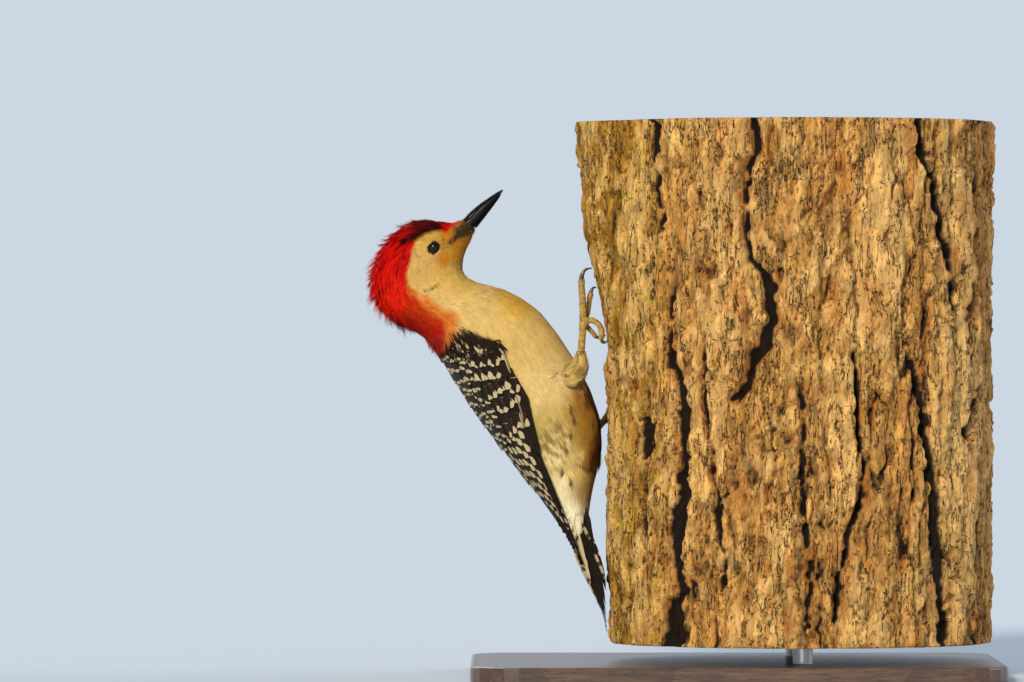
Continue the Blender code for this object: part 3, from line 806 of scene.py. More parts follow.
def blade_map(sheet, row, column, fan):
    """Bake map places of the blades' points: each tuft lies in a small patch at its own sheet place."""
    rows, columns = sheet.grid.shape[:2]
    patch = np.stack([column % columns / columns, row / rows], 1)[:, None, None] * 0.98 + 0.01
    shape = (*fan.shape, BLADE_POINTS)
    across, along = fan[..., None] * 0.0012, POINT_SHARES * 0.003
    return patch + np.stack([np.broadcast_to(across, shape), np.broadcast_to(along, shape)], 3)


def grow(name, sheet, row, column, look, material, colour_of):
    """Tufts at sheet places. look holds blades, and an array each of length, lift, width, spread, heading."""
    tufts, blades = len(row), look["blades"]
    fan = np.linspace(-1, 1, blades)[None, :] + rng.uniform(-0.12, 0.12, (tufts, blades))
    spine, normals = blade_lines(sheet, row, column, look, fan)
    points, facing = blade_shapes(spine, normals, look["width"])
    faces = (np.arange(tufts * blades) * BLADE_POINTS)[:, None, None] + blade_triangles()
    owner = np.repeat(np.arange(tufts), blades)
    colour = colour_of(points[:, :, 6].reshape(-1, 3), owner).reshape(tufts, blades, 1, 3)
    shade = rng.uniform(0.90, 1.07, (tufts, 1, 1, 1)) * rng.uniform(0.82, 1.14, (tufts, blades, 1, 1))
    # blades darken towards their roots: painted shade under the tufts that lie over them
    shade = shade * (0.84 + 0.19 * POINT_SHARES**0.7)[:, None]
    uv = blade_map(sheet, row, column, fan).reshape(-1, 2)[faces.ravel()]
    piece = make_object(
        name, points.reshape(-1, 3), faces.reshape(-1, 3), material, face_uv={"OFBake": uv},
        normals=facing.reshape(-1, 3),
    )
    paint(piece, "tint", (colour * shade).reshape(-1, 3))
    return piece


# ---------------------------------------------------------------- materials


class Finish:
    """One procedural material. Its methods add nodes and return sockets, and take numbers or sockets."""

    def __init__(self, name, **shader):
        self.material = bpy.data.materials.new(name)
        self.material.use_nodes = True
        self.tree = self.material.node_tree
        self.shader = next(n for n in self.tree.nodes if n.type == "BSDF_PRINCIPLED")
        self.place = self.add("TexCoord").outputs["Object"]
        self.set(self.shader, {name.replace("_", " ").capitalize(): value for name, value in shader.items()})

    def set(self, node, inputs):
        sockets = {s.name.lower(): s for s in reversed(node.inputs) if s.enabled}
        for key, value in inputs.items():
            socket = node.inputs[key] if isinstance(key, int) else sockets[key.lower()]
            if isinstance(value, bpy.types.NodeSocket):
                self.tree.links.new(value, socket)
            elif isinstance(value, (tuple, list, np.ndarray)) and socket.type == "RGBA":
                socket.default_value = (*value[:3], 1)
            else:
                socket.default_value = value

    def add(self, kind, inputs=None, **properties):
        node = self.tree.nodes.new("ShaderNode" + kind)
        for key, value in properties.items():
            setattr(node, key, value)
        self.set(node, inputs or {})
        return node

    def math(self, operation, *values):
        return self.add("Math", dict(enumerate(values)), operation=operation).outputs[0]

    def remap(self, value, low, high, to_low=0.0, to_high=1.0):
        """Smooth step of a value between two levels."""
        levels = {"Value": value, "From Min": low, "From Max": high, "To Min": to_low, "To Max": to_high}
        return self.add("MapRange", levels, interpolation_type="SMOOTHSTEP").outputs[0]

    def mix(self, share, a, b, blend="MIX"):
        node = self.add("Mix", data_type="RGBA", blend_type=blend)
        for index, value in ((0, share), (6, a), (7, b)):
            self.set(node, {index: value})
        return node.outputs[2]

    def stretch(self, scale, source=None, turn=(0, 0, 0)):
        inputs = {"Vector": source or self.place, "Scale": scale, "Rotation": turn}
        return self.add("Mapping", inputs).outputs[0]

    def noise(self, scale, detail=3.0, roughness=0.55, at=None, distortion=0.0):
        inputs = {"Vector": at or self.place, "Scale": scale, "Detail": detail, "Roughness": roughness}
        return self.add("TexNoise", inputs | {"Distortion": distortion}).outputs["Fac"]

    def cells(self, scale, feature="F1", at=None, output="Distance"):
        inputs = {"Vector": at or self.place, "Scale": scale}
        return self.add("TexVoronoi", inputs, feature=feature).outputs[output]

    def attribute(self, name, output="Color"):
        return self.add("Attribute", attribute_name=name).outputs[output]

    def split(self, colour):
        return self.add("SeparateColor", {"Color": colour}).outputs

    def bump(self, *layers):
        """Stacks (height, distance in millimetres) layers."""
        normal = None
        for height, distance in layers:
            inputs = {"Height": height, "Distance": distance * MM, "Strength": 1.0}
            normal = self.add("Bump", inputs | ({"Normal": normal} if normal else {})).outputs[0]
        self.set(self.shader, {"Normal": normal})

    def surface(self, **inputs):
        self.set(self.shader, {name.replace("_", " "): value for name, value in inputs.items()})
        return self.material


def feather_finish(name, roughness, sheen, gloss):
    """Small feathers: tinted by their mesh, with barbs as fine bump and a soft sheen."""
    f = Finish(name)
    barbs = f.noise(2600, 2)
    tone = f.math("MULTIPLY_ADD", f.noise(230, 3), 0.36, 0.82)
    colour = f.mix(1.0, f.attribute("tint"), tone, "MULTIPLY")
    rough = f.remap(barbs, 0.2, 0.8, roughness - 0.1, roughness + 0.12)
    f.bump((barbs, 0.02))
    return f.surface(
        base_color=colour, roughness=rough, specular_ior_level=gloss, sheen_weight=sheen, sheen_roughness=0.45
    )


def skin_finish():
    """The skin under the coat, with the same markings and a downy bump."""
    f = Finish("skin_down")
    down = f.noise(1500, 4)
    tone = f.math("MULTIPLY_ADD", down, 0.3, 0.78)
    colour = f.mix(1.0, f.attribute("tint"), tone, "MULTIPLY")
    f.bump((down, 0.12), (f.cells(700), 0.06))
    return f.surface(base_color=colour, roughness=f.remap(down, 0.2, 0.8, 0.7, 0.95), specular_ior_level=0.15)


def vane_spots(f, off_shaft, up):
    """Mask of a flat feather's bars or spots: repeated up from its tip, round or wedged, with frayed ends."""
    period, phase, duty = f.split(f.attribute("marks_a"))
    width = f.attribute("marks_a", "Alpha")
    offset, roundness, reach = f.split(f.attribute("marks_b"))
    wobble = f.math("SUBTRACT", f.noise(520, 3), 0.5)
    height = f.math("MULTIPLY_ADD", wobble, 1.5, f.math("MULTIPLY_ADD", off_shaft, 0.22, up))
    turn = f.math("ADD", f.math("DIVIDE", height, period), phase)
    part = f.math("DIVIDE", f.math("FRACT", turn), duty)
    from_middle = f.math("MULTIPLY_ADD", part, 2.0, -1.0)
    below_one = f.math("SUBTRACT", 1.0, f.math("MULTIPLY", from_middle, from_middle))
    disc = f.math("MULTIPLY", f.math("SQRT", f.math("MAXIMUM", below_one, 0.0)), roundness)
    wedge = f.math("SUBTRACT", 1.0, f.math("MULTIPLY", part, 0.85))
    shape = f.math("ADD", disc, f.math("MULTIPLY", wedge, f.math("SUBTRACT", 1.0, roundness)))
    half = f.math("MULTIPLY", f.math("MULTIPLY", f.math("LESS_THAN", part, 1.0), shape), width)
    inside = f.math("SUBTRACT", half, f.math("ABSOLUTE", f.math("SUBTRACT", off_shaft, offset)))
    frayed = f.math("MULTIPLY_ADD", f.math("SUBTRACT", f.noise(1900, 2), 0.5), 0.9, inside)
    in_reach = f.remap(up, reach, f.math("SUBTRACT", reach, 1.5))
    spot = f.math("MULTIPLY", f.remap(frayed, -0.12, 0.38), in_reach)
    return f.math("MULTIPLY", spot, f.math("GREATER_THAN", width, 0.05))


def shaded(colour, times):
    return tuple(times * v for v in colour)


def vane_finish(name, ink, pale):
    """A flat feather: its own bars or spots, counted in millimetres from its tip, over dark webs with barbs.

    The mesh holds UV map vane (millimetres across from the shaft, millimetres from the tip) and colours
    marks_a (period, phase, duty, half width) and marks_b (offset from the shaft, roundness, reach, paleness).
    """
    f = Finish(name)
    place = f.add("UVMap", uv_map="vane").outputs[0]
    across, up, _ = f.add("SeparateXYZ", {"Vector": place}).outputs
    off_shaft = f.math("ABSOLUTE", across)
    paleness = f.attribute("marks_b", "Alpha")
    spot = vane_spots(f, off_shaft, up)
    barb_at = f.add("CombineXYZ", {"X": f.math("MULTIPLY_ADD", off_shaft, 0.8, up)}).outputs[0]
    wave = {"Vector": barb_at, "Scale": 1.1, "Distortion": 1.2, "Detail": 2}
    barbs = f.add("TexWave", wave).outputs["Fac"]
    shaft = f.remap(off_shaft, 0.28, 0.08)
    mottle = f.noise(300, 3)
    dark = f.mix(mottle, shaded(ink, 0.55), shaded(ink, 1.7))
    dark = f.mix(f.math("MULTIPLY", barbs, 0.35), dark, shaded(ink, 2.2))
    light = f.mix(f.math("MULTIPLY", mottle, 0.8), pale, shaded(pale, 0.72))
    marked = f.mix(spot, f.mix(paleness, dark, light), light)
    marked = f.mix(f.math("MULTIPLY", spot, f.math("MULTIPLY", paleness, 0.9)), marked, dark)
    colour = f.mix(f.math("MULTIPLY", shaft, 0.7), marked, shaded(ink, 0.7))
    colour = f.mix(1.0, colour, f.math("MULTIPLY_ADD", barbs, 0.22, 0.84), "MULTIPLY")
    f.bump((barbs, 0.07), (shaft, 0.14))
    rough = f.remap(barbs, 0.0, 1.0, 0.42, 0.6)
    return f.surface(base_color=colour, roughness=rough, specular_ior_level=0.14)


# ---------------------------------------------------------------- flat feathers

LADDER = dict(period=5.6, phase=-0.22, duty=0.29, half=3.2, offset=0.3, round=1.0, reach=40.0)
WEDGES = dict(period=7.8, phase=-0.15, duty=0.44, half=2.2, offset=2.2, round=0.10, reach=9.0)
SPOTS = dict(period=6.4, phase=-0.25, duty=0.58, half=2.3, offset=2.6, round=0.75, reach=60.0)
RUMP_BARS = dict(period=4.2, phase=-0.4, duty=0.30, half=2.4, offset=0.0, round=1.0, reach=14.0)
NOTCHES = dict(period=9.5, phase=-0.50, duty=0.20, half=0.5, offset=3.8, round=0.8, reach=30.0)
PLAIN = dict(period=50.0, phase=0.0, duty=0.1, half=0.0, offset=0.0, round=1.0, reach=0.0)


def varied(marks, phase=0.06, size=0.2, missing=0.0):
    """Marks of one feather, a little off the pattern of its row."""
    change = dict(
        period=marks["period"] * (1 + jitter(0.05)),
        phase=marks["phase"] + jitter(phase),
        duty=marks["duty"] * (1 + jitter(size)),
        half=marks["half"] * (1 + jitter(size)) * (rng.random() > missing),
        offset=marks["offset"] + jitter(0.35),
    )
    return marks | change


def jitter(amount):
    return rng.uniform(-amount, amount)


class Vanes:
    """Flat feathers on one sheet, each a thin closed leaf with a shaft, a camber and a ragged edge."""

    STEPS, ACROSS = 15, 7
    THICKNESS = 0.14
    MARKS = ("period", "phase", "duty", "half", "offset", "round", "reach")

    def __init__(self, sheet):
        self.sheet = sheet
        self.rows = []
        quarter = np.pi / 2
        self.s = 1 - (1 - np.linspace(0, 1, self.STEPS)) ** 1.5  # shares of a feather's length
        self.c = np.sin(np.linspace(-quarter, quarter, self.ACROSS))  # shares of its half width
        self.middle_column = (sheet.grid.shape[1] - 1) / 2

    def add(self, root, tip, width, marks, low=-1.0, high=0.0, tilt=0.35, bow=0.0, point=0.0, pale=0.0):
        """root and tip are grid places; low and high are the ends' heights; tilt lowers the upper edge."""
        look = (width, low, high, tilt, bow, point)
        self.rows.append((*root, *tip, *look, *(marks[k] for k in self.MARKS), pale))

    def half_widths(self, length, width, point):
        """Half widths along each feather, from its round or pointed tip to its narrow root, ragged."""
        s, point = self.s[None], point[:, None]
        start = np.clip(1 - width * 0.62 / length, 0.3, 0.9)[:, None] * (1 - point) + 0.35 * point
        past = np.clip((s - start) / (1 - start), 0, 1)
        profile = (1 - past ** (2.2 - 0.9 * point)) ** (0.5 + 0.35 * point)
        profile = np.maximum(profile * ramp(self.s, -0.12, 0.22)[None], 0.05)
        at_edge = np.abs(self.c) > 0.99
        ragged = 1 - 0.10 * rng.random((len(width), self.STEPS, self.ACROSS)) * at_edge
        return self.c * profile[..., None] * ragged * width[:, None, None] / 2

    def outlines(self, root, tip, width, bow, point):
        """Grid places of every feather's points, how far they lie from its shaft, and its length."""
        run = (tip - root)[:, None]
        line = root[:, None] + run * self.s[None, :, None]
        _, d_row, d_column, _ = self.sheet.read(line[..., 0], line[..., 1])
        size = np.stack([np.linalg.norm(d_row, axis=-1), np.linalg.norm(d_column, axis=-1)], -1)
        size = np.maximum(size, 0.05)
        ahead = unit(run * size)
        sideways = np.stack([-ahead[..., 1], ahead[..., 0]], -1)
        length = np.linalg.norm(run * size, axis=-1).mean(1)
        line = line + sideways / size * (bow[:, None] * np.sin(np.pi * self.s[None]))[..., None]
        out = self.half_widths(length, width, point)
        return line[:, :, None] + (sideways / size)[:, :, None] * out[..., None], out, length

    def surfaces(self, place, low, high, tilt, lower_side):
        """Upper and under side of every feather."""
        point_at, _, _, normal = self.sheet.read(place[..., 0], place[..., 1])
        rise = low[:, None] + (high - low)[:, None] * self.s[None] ** 0.75
        lean = (tilt[:, None] * (1 - lower_side[:, None] * self.c[None]) / 2)[:, None]
        height = rise[..., None] - 0.22 * self.c**2 - lean
        height = height + rng.uniform(-0.05, 0.05, (len(place), 1, 1))
        top = point_at + normal * height[..., None]
        across = np.cos(np.linspace(-np.pi / 2, np.pi / 2, self.ACROSS))
        lengthwise = np.sin(np.pi * np.clip(self.s, 0.02, 0.98))[:, None] ** 0.3
        thickness = self.THICKNESS * across * lengthwise
        return top, top - normal * thickness[None, ..., None]

    def leaf(self):
        """Faces of one closed leaf, and how many lie on its upper side; both sides share their rim."""
        n, m = self.STEPS, self.ACROSS
        upper = np.arange(n * m).reshape(n, m)
        under = upper.copy()
        under[1:-1, 1:-1] = n * m + np.arange((n - 2) * (m - 2)).reshape(n - 2, m - 2)
        upper_faces = np.stack([upper[:-1, :-1], upper[:-1, 1:], upper[1:, 1:], upper[1:, :-1]], -1)
        under_faces = np.stack([under[:-1, :-1], under[1:, :-1], under[1:, 1:], under[:-1, 1:]], -1)
        faces = np.concatenate([upper_faces.reshape(-1, 4), under_faces.reshape(-1, 4)])[:, ::-1]
        return faces, (n - 1) * (m - 1)

    def both_sides(self, upper, under):
        """Rows for a leaf's points: all of the upper side's, then the inner ones of the under side's."""
        count, values = len(upper), upper.shape[-1]
        inner = under[:, 1:-1, 1:-1]
        return np.concatenate([upper.reshape(count, -1, values), inner.reshape(count, -1, values)], 1)

    def bake_map(self, count, faces, upper_count):
        """Each feather has a square of its own in the bake map, with its two sides next to each other."""
        cells = math.ceil(math.sqrt(count))
        corner = np.stack([np.arange(count) % cells, np.arange(count) // cells], 1) / cells
        in_cell = np.stack(np.broadcast_arrays((self.c[None] + 1) / 2 * 0.46, self.s[:, None]), -1)[None]
        in_cell = self.both_sides(in_cell, in_cell)[0] * (1, 0.94) + (0.02, 0.03)
        shift = np.where(np.arange(len(faces)) < upper_count, 0.0, 0.5)
        shift = np.stack([shift, 0 * shift], 1)[:, None]
        return corner[:, None, None] + (in_cell[faces] + shift)[None] / cells

    def build(self, name, material):
        spec = np.array(self.rows)
        root, tip, (width, low, high, tilt, bow, point) = spec[:, :2], spec[:, 2:4], spec[:, 4:10].T
        place, out, length = self.outlines(root, tip, width, bow, point)
        lower_side = np.sign((tip[:, 1] + root[:, 1]) / 2 - self.middle_column)
        points = self.both_sides(*self.surfaces(place, low, high, tilt, lower_side))
        leaf, upper_count = self.leaf()
        count, per = points.shape[:2]
        faces = np.arange(count)[:, None, None] * per + leaf[None]
        from_tip = ((1 - self.s) * length[:, None])[..., None]
        flat = np.stack(np.broadcast_arrays(out, from_tip), -1)
        vane_uv = self.both_sides(flat, flat).reshape(-1, 2)[faces.ravel()]
        bake_uv = self.bake_map(count, leaf, upper_count).reshape(-1, 2)
        marks = np.repeat(spec[:, 10:18], per, 0)
        return make_object(
            name, points.reshape(-1, 3), faces.reshape(-1, 4), material,
            face_uv={"vane": vane_uv, "OFBake": bake_uv},
            colours={"marks_a": marks[:, :4], "marks_b": marks[:, 4:]},
        )


def shares(count):
    """Even shares from 0 to 1."""
    return [k / (count - 1) for k in range(count)]


class Wing:
    """One wing's feathers. Places are (steps from the shoulder, share down from the back)."""

    def __init__(self, side):
        self.side = side
        self.vanes = Vanes(wings)

    def lay(self, root, tip, width, marks, **look):
        look["bow"] = look.get("bow", 0.0) * self.side
        root = wing_place(root[0], root[1] * self.side)
        tip = wing_place(tip[0], tip[1] * self.side)
        self.vanes.add(root, tip, width, marks, **look)

    def outer_primaries(self):
        """Down to the wing's tip."""
        for f in shares(8):
            self.lay((2.4, 0.84), (9.2 - 2.1 * f**1.2, 0.52 + 0.24 * f**0.8), 8.5 - 2.6 * f, NOTCHES,
                     low=-1.7 - 0.1 * f, high=-0.75 + 0.35 * f, bow=0.9, point=0.55, tilt=0.3)

    def inner_primaries(self):
        """Up to the back."""
        for f in shares(6):
            self.lay((3.2, 0.75 - 0.5 * f), (9.0 - 1.1 * f, 0.62 - 0.56 * f), 8.5 - 1.5 * f, PLAIN,
                     low=-1.6, high=-0.65 + 0.2 * f, point=0.45, tilt=0.4)

    def secondaries(self):
        for f in shares(8):
            root, tip = (2.2, 0.05 + 0.76 * f), (5.9 + 1.7 * f**0.85, 0.04 + 0.62 * f)
            self.lay(root, tip, 11.5 - 2.0 * f, varied(SPOTS, 0.22, 0.15),
                     low=-1.3 - 0.25 * f, high=-0.1 - 0.35 * f, bow=-0.8, point=0.12, tilt=0.75)

    def primary_coverts(self):
        for f in shares(6):
            self.lay((2.0, 0.86 + 0.08 * f), (4.9 - 1.5 * f, 0.90 + 0.10 * f), 6.5 - 1.5 * f, PLAIN,
                     low=-1.0, high=-0.15 + 0.1 * f, point=0.3)

    def greater_coverts(self):
        for f in shares(6):
            tip = (4.25 - 0.3 * f + jitter(0.1), 0.22 + 0.64 * f + jitter(0.01))
            self.lay((2.2, 0.20 + 0.66 * f), tip, 8.6, varied(WEDGES, 0.08, 0.25),
                     low=-1.1, high=-0.05, point=0.05, tilt=0.45)

    def lesser_coverts(self):
        """Rows from the greater coverts up to the shoulder. The lowest feather of a row seldom has a mark."""
        for row, (reach, first) in enumerate(COVERT_ROWS):
            for k in range(5):
                f = (k + 0.4 * (row % 2)) / 4.4
                u = first + (0.92 - first) * f
                root, tip = (reach - 1.2 + jitter(0.05), u - 0.02), (reach + jitter(0.10), u + jitter(0.012))
                self.lay(root, tip, 8.2 - 0.3 * row, varied(WEDGES, 0.08, 0.28, 0.04 if k < 4 else 0.7),
                         low=-0.95, high=0.03 + 0.05 * row, point=0.1, tilt=0.3)

    def scapulars(self):
        for k, f in enumerate(shares(20)):
            t, u = 4.3 - 3.5 * f, 0.27 + 0.10 * math.sin(2.4 * k) + 0.08 * f
            self.lay((t - 1.5, u + 0.04), (t + jitter(0.1), u), 8.0, varied(LADDER, 0.18, 0.25),
                     low=-0.9, high=0.12 + 0.15 * f, point=0.2, tilt=0.35, bow=0.5)


COVERT_ROWS = (  # steps to the tips, first share
    (3.25, 0.42), (2.68, 0.44), (2.05, 0.46), (1.48, 0.48), (0.92, 0.50),
)


def wing_feathers(side):
    """One wing's feathers, laid from the bottom of the stack up."""
    wing = Wing(side)
    wing.outer_primaries()
    wing.inner_primaries()
    wing.secondaries()
    wing.primary_coverts()
    wing.greater_coverts()
    wing.lesser_coverts()
    wing.scapulars()
    return wing.vanes


def mantle_feathers():
    """The back's barred feathers, in staggered rows over the roots of both wings, and the pale rump below."""
    vanes = Vanes(wings)
    for row in range(9):
        reach = 8.1 - 0.5 * row
        for k in range(3):
            u = (k - 1 + 0.5 * (row % 2)) * 0.14
            root, tip = wing_place(reach - 1.3, u * 0.8), wing_place(reach + jitter(0.1), u)
            vanes.add(root, tip, 6.5, varied(RUMP_BARS, 0.2, 0.2),
                      low=-2.3, high=-1.1 + 0.03 * row, point=0.2, tilt=0.0, pale=1.0)
    for row in range(9):
        reach = 4.5 - 0.43 * row
        for k in range(5):
            u = (k - 2 + 0.5 * (row % 2)) * 0.10
            root, tip = wing_place(reach - 1.05, u * 0.9), wing_place(reach + jitter(0.08), u)
            vanes.add(root, tip, 7.8, varied(LADDER, 0.12, 0.2),
                      low=-0.8, high=0.15 + 0.04 * row, point=0.2, tilt=0.0)
    return vanes


SHOULDER_TRIES, SHOULDER_SPACING = 12000, 1.15
NECK_RED = (0.34, 0.012, 0.001)


def shoulder_down(side):
    """Loose down over the wing's top: the neck's red and cream end over the back, dark ones lie outside."""
    row, column, root = scatter(
        wings, SHOULDER_TRIES, lambda p: np.full(len(p), SHOULDER_SPACING), lambda p, n: p[:, 1] * side < 0
    )
    t, u = row / ROWS_PER_WING_STEP, np.abs(column / (WING_COLUMNS - 1) * 2 - 1) * WING_REACH
    patchy = cloud(root / 3.0, 2, 79) - 0.5
    chosen = (t < 0.70 - 0.22 * np.cos(u * 5) + 0.5 * patchy) & (u < 1.02)
    row, column, root, t, u, patchy = (values[chosen] for values in (row, column, root, t, u, patchy))
    count = len(row)
    look = {
        "length": rng.uniform(3.6, 6.0, count),
        "lift": rng.uniform(0.3, 1.1, count),
        "width": np.full(count, 0.30),
        "spread": np.full(count, 0.10),
        "heading": rng.normal(0, 0.22, count),
        "blades": 8,
    }
    pale = ramp(cloud(root / 2.0, 2, 77), 0.58, 0.64)[:, None]
    dark = np.array(WING_INK) * 1.3 * (1 - pale) + np.array(WING_PALE) * 0.75 * pale
    of_neck = (t + 0.5 * patchy < 0.22) & (u + 0.3 * patchy < 0.30)
    tones = np.where(of_neck[:, None], NECK_RED, dark)
    name = "shoulder_down_" + ("right" if side > 0 else "left")
    return grow(name, wings, row, column, look, dark_feathers, lambda places, tuft: tones[tuft])


HEM_PLUMES = (  # root, tip, width
    ((0.35, 0.97), (1.95, 0.95), 1.3),
    ((2.7, 0.91), (3.75, 0.89), 0.8),
    ((3.4, 0.87), (4.0, 0.84), 1.2),
)


def edge_plumes(side):
    """Pale hem of the wing's lower edge: three narrow cream feathers."""
    wing = Wing(side)
    for root, tip, width in HEM_PLUMES:
        wing.lay(root, tip, width, PLAIN, low=-0.3, high=0.20, point=0.3, pale=1.0, tilt=0.0)
    return wing.vanes


# ---------------------------------------------------------------- tail

TAIL_ROWS_TABLE = (  # ridge (x, z), outer edge (x, z), half width
    (-25.5, 62.5, -11.0, 67.5, 11.4),
    (-21.6, 53.0, -9.4, 58.0, 9.6),
    (-18.4, 43.5, -8.2, 47.6, 8.6),
    (-15.4, 35.0, -5.0, 38.6, 10.2),
    (-10.8, 26.0, -1.9, 29.0, 12.2),
    (-6.0, 17.0, -0.6, 19.6, 12.0),
    (-2.4, 8.4, 0.0, 9.6, 9.2),
    (-0.5, 0.0, 0.3, 1.0, 5.6),
)
TAIL_ROWS, TAIL_COLUMNS, TAIL_REACH, TAIL_ARCH = 97, 81, 1.1, 1.7


def lay_tail():
    """The tail's arched top: columns run from its left edge over the ridge to the right one."""
    rows = spline(TAIL_ROWS_TABLE, np.linspace(0, len(TAIL_ROWS_TABLE) - 1, TAIL_ROWS))
    v = np.linspace(-TAIL_REACH, TAIL_REACH, TAIL_COLUMNS)[None, :]
    arch = np.abs(v) ** TAIL_ARCH
    x = rows[:, :1] + (rows[:, 2:3] - rows[:, :1]) * arch
    z = rows[:, 1:2] + (rows[:, 3:4] - rows[:, 1:2]) * arch
    return Sheet(np.stack([x, -v * rows[:, 4:5], z], 2), wraps=False)


tail = lay_tail()


def tail_place(t, v):
    """Grid row and column t steps down the tail and v from its ridge, 0, to its edges, -1 and 1."""
    row = np.asarray(t) * (TAIL_ROWS - 1) / (len(TAIL_ROWS_TABLE) - 1)
    return row, (np.asarray(v) / TAIL_REACH + 1) / 2 * (TAIL_COLUMNS - 1)


TAIL_NOTCHES = NOTCHES | dict(period=6.5, duty=0.34, half=0.9, offset=2.9, reach=26.0, phase=-0.8)
TAIL_BARS = SPOTS | dict(period=6.0, duty=0.36, half=1.3, offset=0.6, reach=30.0)
PALE_TAIL_FEATHERS = (  # root, tip, width, height of the tip
    ((0.2, 0.46), (4.3, 0.30), 8.2, 0.15),
    ((3.3, 0.16), (5.6, 0.03), 3.4, 0.20),
    ((1.2, 0.80), (2.15, 0.97), 1.7, 0.25),
    ((2.8, 0.93), (4.3, 1.00), 1.7, 0.25),
)


def dark_tail_feathers():
    """Twelve stiff pointed feathers: the outer ones lie under the next and are shorter."""
    dark = Vanes(tail)
    for pair in range(5, -1, -1):
        f = pair / 5
        marks = TAIL_NOTCHES if pair == 5 else PLAIN
        width, drop, tilt = (7.0 - 0.7 * f, 1.0, 0.2) if pair else (5.0, 0.5, 0.1)
        for side in (1, -1):
            tip = tail_place(7.0 - 0.25 * pair - 0.9 * f**3, side * (0.08 + 0.82 * f))
            root = tail_place(0.3 + 0.5 * (1 - f), side * (0.06 + 0.80 * f))
            high = -0.10 - 0.19 * pair
            dark.add(root, tip, width, marks, low=high - drop, high=high, point=0.75, tilt=tilt)
    return dark


def pale_tail_feathers():
    """White barred feathers along the tail's ridge and edges."""
    pale = Vanes(tail)
    for side in (1, -1):
        for root, tip, width, high in PALE_TAIL_FEATHERS:
            root, tip = tail_place(root[0], side * root[1]), tail_place(tip[0], side * tip[1])
            pale.add(root, tip, width, TAIL_BARS, low=0.0, high=high, point=0.4, tilt=0.1, pale=1.0)
    return pale


# ---------------------------------------------------------------- legs

THIGH_AXES = {  # down the middle of each feathered leg
    -1: (
        (-33.0, -12.0, 127.0),
        (-24.5, -14.5, 128.5),
        (-17.4, -15.6, 128.4),
        (-13.9, -15.4, 131.6),
        (-13.2, -14.8, 137.0),
        (-13.1, -14.6, 140.0),
    ),
    1: (
        (-27.0, 14.0, 104.0),
        (-19.5, 18.4, 97.5),
        (-12.8, 21.2, 94.4),
        (-8.8, 22.6, 96.4),
        (-6.2, 23.9, 99.6),
        (-5.0, 24.7, 101.2),
    ),
}
SIDES = ((-1, "right"), (1, "left"))
THIGH_ROWS, THIGH_COLUMNS = 50, 36
THIGH_RISE = (  # distance along the leg's axis, and the most that the leg may rise over the trunk there
    (0, 0.0), (9, 0.0), (13, 1.1), (17, 3.0), (20, 6.5), (24, 40.0),
)
THIGH_WIDTH = 9.0  # points further than this from a leg's axis aren't the leg's
NO_LIMIT = 25.0  # height limit of points that aren't held down
LOWEST_FREE = 20.0  # a limit from here on never binds
body_cover = tree_of("trunk")


def height_over_trunk(point):
    """Height of a point over the trunk's surface, and the surface's normal there."""
    at, normal, _, _ = body_cover.find_nearest(Vector(point))
    return (Vector(point) - at).dot(normal), normal


def over_trunk(points):
    return np.array([height_over_trunk(p)[0] for p in points])


def drawn_to_trunk(points, limit):
    """Points that stand higher over the trunk than their limit, brought down to it."""
    result = points.copy()
    for i in np.flatnonzero(limit < LOWEST_FREE):
        height, normal = height_over_trunk(points[i])
        if height > limit[i]:
            result[i] -= np.array(normal) * (height - limit[i])
    return result


def merged_with_trunk(points, y_sign, depth=0.0):
    """Points of a leg, drawn down so that the leg rises from that depth in the trunk little by little."""
    axis = spline(THIGH_AXES[y_sign], np.linspace(0, 5, 60))
    run = np.concatenate([[0], np.cumsum(np.linalg.norm(np.diff(axis, axis=0), axis=1))])
    away = np.linalg.norm(points[:, None] - axis, axis=2)
    limit = table(run[away.argmin(1)], THIGH_RISE)
    return drawn_to_trunk(points, np.where(away.min(1) < THIGH_WIDTH, limit - depth, NO_LIMIT))


def measure_thigh(y_sign, side):
    """A leg's feathered part as a sheet wrapped round its axis."""
    axis = spline(THIGH_AXES[y_sign], np.linspace(0.3, 4.93, THIGH_ROWS))
    along = unit(np.gradient(axis, axis=0))
    first = unit(np.cross(along, (0, 1, 0)))
    rays = spokes(first, np.cross(along, first), np.arange(THIGH_COLUMNS) * 2 * np.pi / THIGH_COLUMNS)
    reach = cast(tree_of("thigh_" + side), axis, rays, 12)
    reach = blurred(filled(reach, np.isnan(reach)), 3)
    points = axis[:, None] + rays * reach[..., None]
    return Sheet(merged_with_trunk(points.reshape(-1, 3), y_sign).reshape(points.shape), wraps=True)


# ---------------------------------------------------------------- plumage

red_feathers = feather_finish("red_feathers", 0.62, 0.0, 0.06)
cream_feathers = feather_finish("cream_feathers", 0.68, 0.04, 0.18)
dark_feathers = feather_finish("dark_feathers", 0.60, 0.0, 0.10)
skin_down = skin_finish()
barred_vanes = vane_finish("barred_vanes", WING_INK, WING_PALE)
tail_vanes = vane_finish("tail_vanes", (0.008, 0.0048, 0.0026), (0.72, 0.57, 0.30))

FLESH = ("head", "neck", "trunk", "thigh_left", "thigh_right", "wing_left", "wing_right")
BILL_BASE = np.array((-69.3, 0.0, 203.6))
SKIN_VOXEL, SKIN_SMOOTHING = 1.0, 6


def wing_share(points):
    """How far down the wing's sheet the nearest place lies, from 0 on the back to 1 at the lower edge."""
    down = np.abs(np.linspace(-WING_REACH, WING_REACH, WING_COLUMNS))
    grid = wings.grid[::3, :, :3]
    tree = KDTree(grid.shape[0] * grid.shape[1])
    for k, p in enumerate(grid.reshape(-1, 3)):
        tree.insert(Vector(p), k)
    tree.balance()
    return np.array([down[tree.find(Vector(p))[1] % WING_COLUMNS] for p in points])


